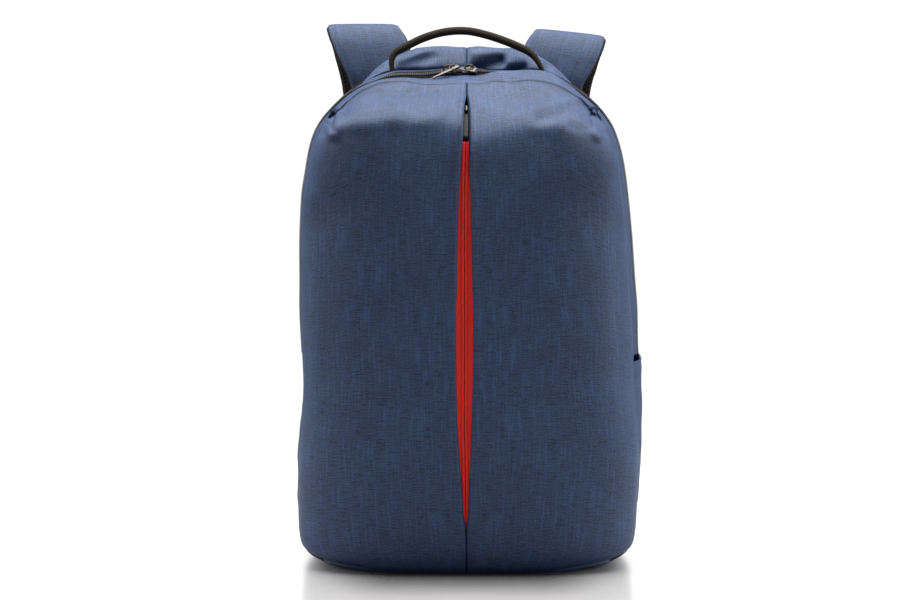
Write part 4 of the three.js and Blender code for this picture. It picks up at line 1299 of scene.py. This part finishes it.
def makeBinding(name):
    turn = np.arange(12) * 2 * math.pi / 12
    edges = []
    for edge in (-1, 1):
        path = strapEdge(name, edge, 0.2, 0.0)
        _, _, out, across = strapLine(name)
        wave = strap["binding"] * (1 + 0.05 * ripple(np.arange(len(path)) * 4.0, 0, 16, 31 + edge))
        ring = across[:, None] * np.cos(turn)[None, :, None]
        ring = ring + strap["bindingTall"] * out[:, None] * np.sin(turn)[None, :, None]
        edges.append(layTube(f"strapBinding_{name}", path[:, None] + ring * wave[:, None, None]))
    piece = joinUp(*edges)
    roundOff(piece, 60)
    dress(piece, blackWebbing)


def makeStrap(name):
    shellRings = strapRings(name, strap["gap"] / 2, strap["shell"], strap["shellCrown"])
    shell = layTube(f"strapShell_{name}", shellRings)
    puff(shell, strapSewn(name), *strap["shellPuff"])
    roundOff(shell, 60)
    dress(shell, navyCloth, [f"strap_shell_{name}"])
    edges = [(shell, strapEdge(name, edge, strap["seam"] + 1.5, strap["shell"])[3:-3]) for edge in (-1, 1)]
    sewAlong(f"strapStitch_{name}", edges, navyThread)
    lining = layTube(f"strapLining_{name}", strapRings(name, -strap["lining"], -strap["gap"] / 2, 0.0))
    puff(lining, strapSewn(name), *strap["liningPuff"])
    roundOff(lining, 60)
    dress(lining, blackMesh, [f"strap_lining_{name}"])
    makeBinding(name)


for name in strapSides:
    makeStrap(name)
print("straps made")


# strap ends: a ladder buckle and black webbing sewn to the foot of the back
buckle = {
    "wide": 34.0, "tall": 24.0, "rail": 4.0, "thick": 4.0, "bars": (1.6, 12.0, 22.4), "bar": 3.2, "gap": 0.4,
}
webbing = {"half": 12.5, "thick": 1.8, "foot": (67.0, 40.0), "sag": 5.0, "through": (12, 19)}
anchor = {"z": (18.0, 46.0), "half": (18.5, 15.5), "y": 65.6, "thick": 6.4, "rim": 0.35, "rimIn": 0.94}


def makeStrapEnd(name):
    line, along, _, _ = strapLine(name)
    end = line[-1, :3]
    down = unit(along[-1] * np.array([0, 1, 1]))
    out = np.array([0, -down[2], down[1]])
    ladder = []
    for edge in (-1, 1):
        size = (buckle["tall"], buckle["rail"], buckle["thick"])
        rail = makeBlock(f"strapBuckle_{name}", size, rounding=1.0)
        ladder.append(shift(rail, buckle["tall"] / 2, edge * (buckle["wide"] - buckle["rail"]) / 2))
    for level in buckle["bars"]:
        size = (buckle["bar"], buckle["wide"] - 2, buckle["thick"] - 0.6)
        bar = makeBlock(f"strapBuckleBar_{name}", size, rounding=0.9)
        ladder.append(shift(bar, level))
    piece = setAt(joinUp(*ladder), end + down * buckle["gap"], down, out)
    roundOff(piece, 50)
    dress(piece, blackPlastic, [f"strap_adjuster_{name}"])
    start = end + down * (buckle["tall"] + 2 * buckle["gap"])
    foot = np.array([end[0], *webbing["foot"]])
    middle = mix(start, foot, 0.55) + np.array([0, webbing["sag"], 0])
    threaded = [end + down * far for far in webbing["through"]]
    path = evenly(splineThrough([*threaded, start, middle, foot], 900), 110)
    turn = unit(np.gradient(path, axis=0))
    normal = unit(np.stack([0 * turn[:, 0], -turn[:, 2], turn[:, 1]], -1))
    a = np.arange(32) * 2 * math.pi / 32
    flat = squarer(np.cos(a), 0.3) * webbing["half"]
    tall = squarer(np.sin(a), 0.7) * webbing["thick"] / 2
    rings = path[:, None] + normal[:, None] * tall[None, :, None]
    rings[..., 0] += flat[None]
    strip = layTube(f"strapEnd_{name}", rings)
    roundOff(strip, 60)
    dress(strip, blackWebbing, [f"strap_webbing_{name}"])
    height = np.linspace(*anchor["z"], 40)
    share = np.linspace(0, 1, 40)[:, None]
    rim = np.minimum(1, np.minimum(share, 1 - share) * 9 + anchor["rim"])
    half = mix(*anchor["half"], share) * mix(anchor["rimIn"], 1.0, rim)
    sheetX = end[0] + flat[None] / webbing["half"] * half
    sheetY = anchor["y"] + tall[None] / (webbing["thick"] / 2) * anchor["thick"] / 2 * rim
    tab = layTube(f"strapAnchor_{name}", np.stack([sheetX, sheetY, height[:, None] + 0 * sheetX], -1))
    roundOff(tab, 60)
    dress(tab, navyCloth)


for name in strapSides:
    makeStrapEnd(name)
print("strap ends made")


# satin pale floor whose colour carries a painted shadow, darker under the bag, and which fades into the white
# backdrop; a soft box overhead and white boards all round
studio = {
    "floor": (0.38, 0.372, 0.368), "floorRough": 0.24, "floorShine": 0.6, "floorSize": 2.0,
    # the footprint, its squeeze, the reach and the darkest tone of the shadow painted into the floor's colour
    # under the bag
    "foot": (0.064, 0.052, 0.0), "squeeze": (1.7, 1.0, 1.0), "contact": 0.13, "paintedShadowTone": 0.2,
    "fade": (0.42, 0.9), "backdrop": 1.05, "fill": 0.05,
}
lamps = [
    {"name": "topBox", "place": (0, 0.2, 2.1), "aim": (0, 0.2, 0), "size": (4.6, 1.4), "power": 190},
    {"name": "leftBoard", "place": (-1.7, 0, 0.6), "aim": (0, 0, 0.6), "size": (2.0, 1.3), "power": 13.5},
    {"name": "rightBoard", "place": (1.7, 0, 0.6), "aim": (0, 0, 0.6), "size": (2.0, 1.3), "power": 22},
    {"name": "frontBoard", "place": (0, -2.0, 0.3), "aim": (0, 0, 0.3), "size": (3.4, 0.9), "power": 2.8},
    {"name": "rearBoard", "place": (0, 2.0, 0.3), "aim": (0, 0, 0.3), "size": (3.4, 0.9), "power": 4},
]
floorLamps = [  # these light the floor alone
    {"name": "floorGlow", "place": (0, 1.5, 0.6), "aim": (0, 0, 0.6), "size": (3.4, 1.3), "power": 24},
    {"name": "floorGlowFront", "place": (0, -1.5, 0.6), "aim": (0, 0, 0.6), "size": (3.4, 1.3), "power": 2},
    {"name": "floorGlowLeft", "place": (-1.3, 0, 0.5), "aim": (0, 0, 0.3), "size": (1.6, 0.9), "power": 9},
    {"name": "floorGlowRight", "place": (1.3, 0, 0.5), "aim": (0, 0, 0.3), "size": (1.6, 0.9), "power": 6},
]


def vectorMath(tree, operation, *values):
    node = tree.nodes.new("ShaderNodeVectorMath")
    node.operation = operation
    for socket, value in zip(node.inputs, values):
        feed(tree, socket, value)
    return node.outputs["Value" if operation == "LENGTH" else "Vector"]


def ranged(tree, value, start, end):
    node = tree.nodes.new("ShaderNodeMapRange")
    node.interpolation_type = "SMOOTHSTEP"
    node.inputs["From Min"].default_value, node.inputs["From Max"].default_value = start
    node.inputs["To Min"].default_value, node.inputs["To Max"].default_value = end
    tree.links.new(value, node.inputs["Value"])
    return node.outputs["Result"]


def makeFloor():
    bpy.ops.object.select_all(action="DESELECT")
    bpy.ops.mesh.primitive_plane_add(size=studio["floorSize"])
    floor = bpy.context.object
    floor.name = "floor"
    paint = bpy.data.materials.new("floorShadowPaint")
    paint.use_nodes = True
    tree = paint.node_tree
    shader = tree.nodes["Principled BSDF"]
    shader.inputs["Roughness"].default_value = studio["floorRough"]
    shader.inputs["Specular IOR Level"].default_value = studio["floorShine"]
    place = tree.nodes.new("ShaderNodeTexCoord").outputs["Object"]
    shown = ranged(tree, vectorMath(tree, "LENGTH", place), studio["fade"], (1.0, 0.0))
    tree.links.new(shown, shader.inputs["Alpha"])
    # painted shadow: the floor's base colour darkens towards the bag's footprint, a contact shadow painted
    # into the colour rather than cast
    beyond = vectorMath(tree, "SUBTRACT", vectorMath(tree, "ABSOLUTE", place), studio["foot"])
    beyond = vectorMath(tree, "MULTIPLY", vectorMath(tree, "MAXIMUM", beyond, (0, 0, 0)), studio["squeeze"])
    fromFoot = vectorMath(tree, "LENGTH", beyond)
    lit = ranged(tree, fromFoot, (0.0, studio["contact"]), (studio["paintedShadowTone"], 1.0))
    tree.links.new(vectorMath(tree, "MULTIPLY", lit, studio["floor"]), shader.inputs["Base Color"])
    floor.data.materials.append(paint)


def makeStudio():
    world = bpy.data.worlds.new("studioWorld")
    world.use_nodes = True
    tree = world.node_tree
    backdrop = tree.nodes["Background"]
    backdrop.inputs["Strength"].default_value = studio["backdrop"]
    fill = tree.nodes.new("ShaderNodeBackground")
    fill.inputs["Strength"].default_value = studio["fill"]
    backdrop.inputs["Color"].default_value = fill.inputs["Color"].default_value = (1, 1, 1, 1)
    rays, choose = tree.nodes.new("ShaderNodeLightPath"), tree.nodes.new("ShaderNodeMixShader")
    tree.links.new(rays.outputs["Is Camera Ray"], choose.inputs[0])
    tree.links.new(fill.outputs[0], choose.inputs[1])
    tree.links.new(backdrop.outputs[0], choose.inputs[2])
    tree.links.new(choose.outputs[0], tree.nodes["World Output"].inputs["Surface"])
    bpy.context.scene.world = world
    bpy.context.scene.view_settings.view_transform = "Standard"
    for lamp in lamps + floorLamps:
        light = bpy.data.lights.new(lamp["name"], "AREA")
        light.shape = "RECTANGLE"
        light.size, light.size_y = lamp["size"]
        light.energy = lamp["power"]
        holder = bpy.data.objects.new(lamp["name"], light)
        bpy.context.scene.collection.objects.link(holder)
        holder.location = lamp["place"]
        aim = Vector(lamp["aim"]) - Vector(lamp["place"])
        holder.rotation_euler = aim.to_track_quat("-Z", "Y").to_euler()
        if lamp in floorLamps:
            lit = bpy.data.collections.new(lamp["name"])
            lit.objects.link(bpy.data.objects["floor"])
            holder.light_linking.receiver_collection = lit


makeFloor()
makeStudio()
print("studio made")
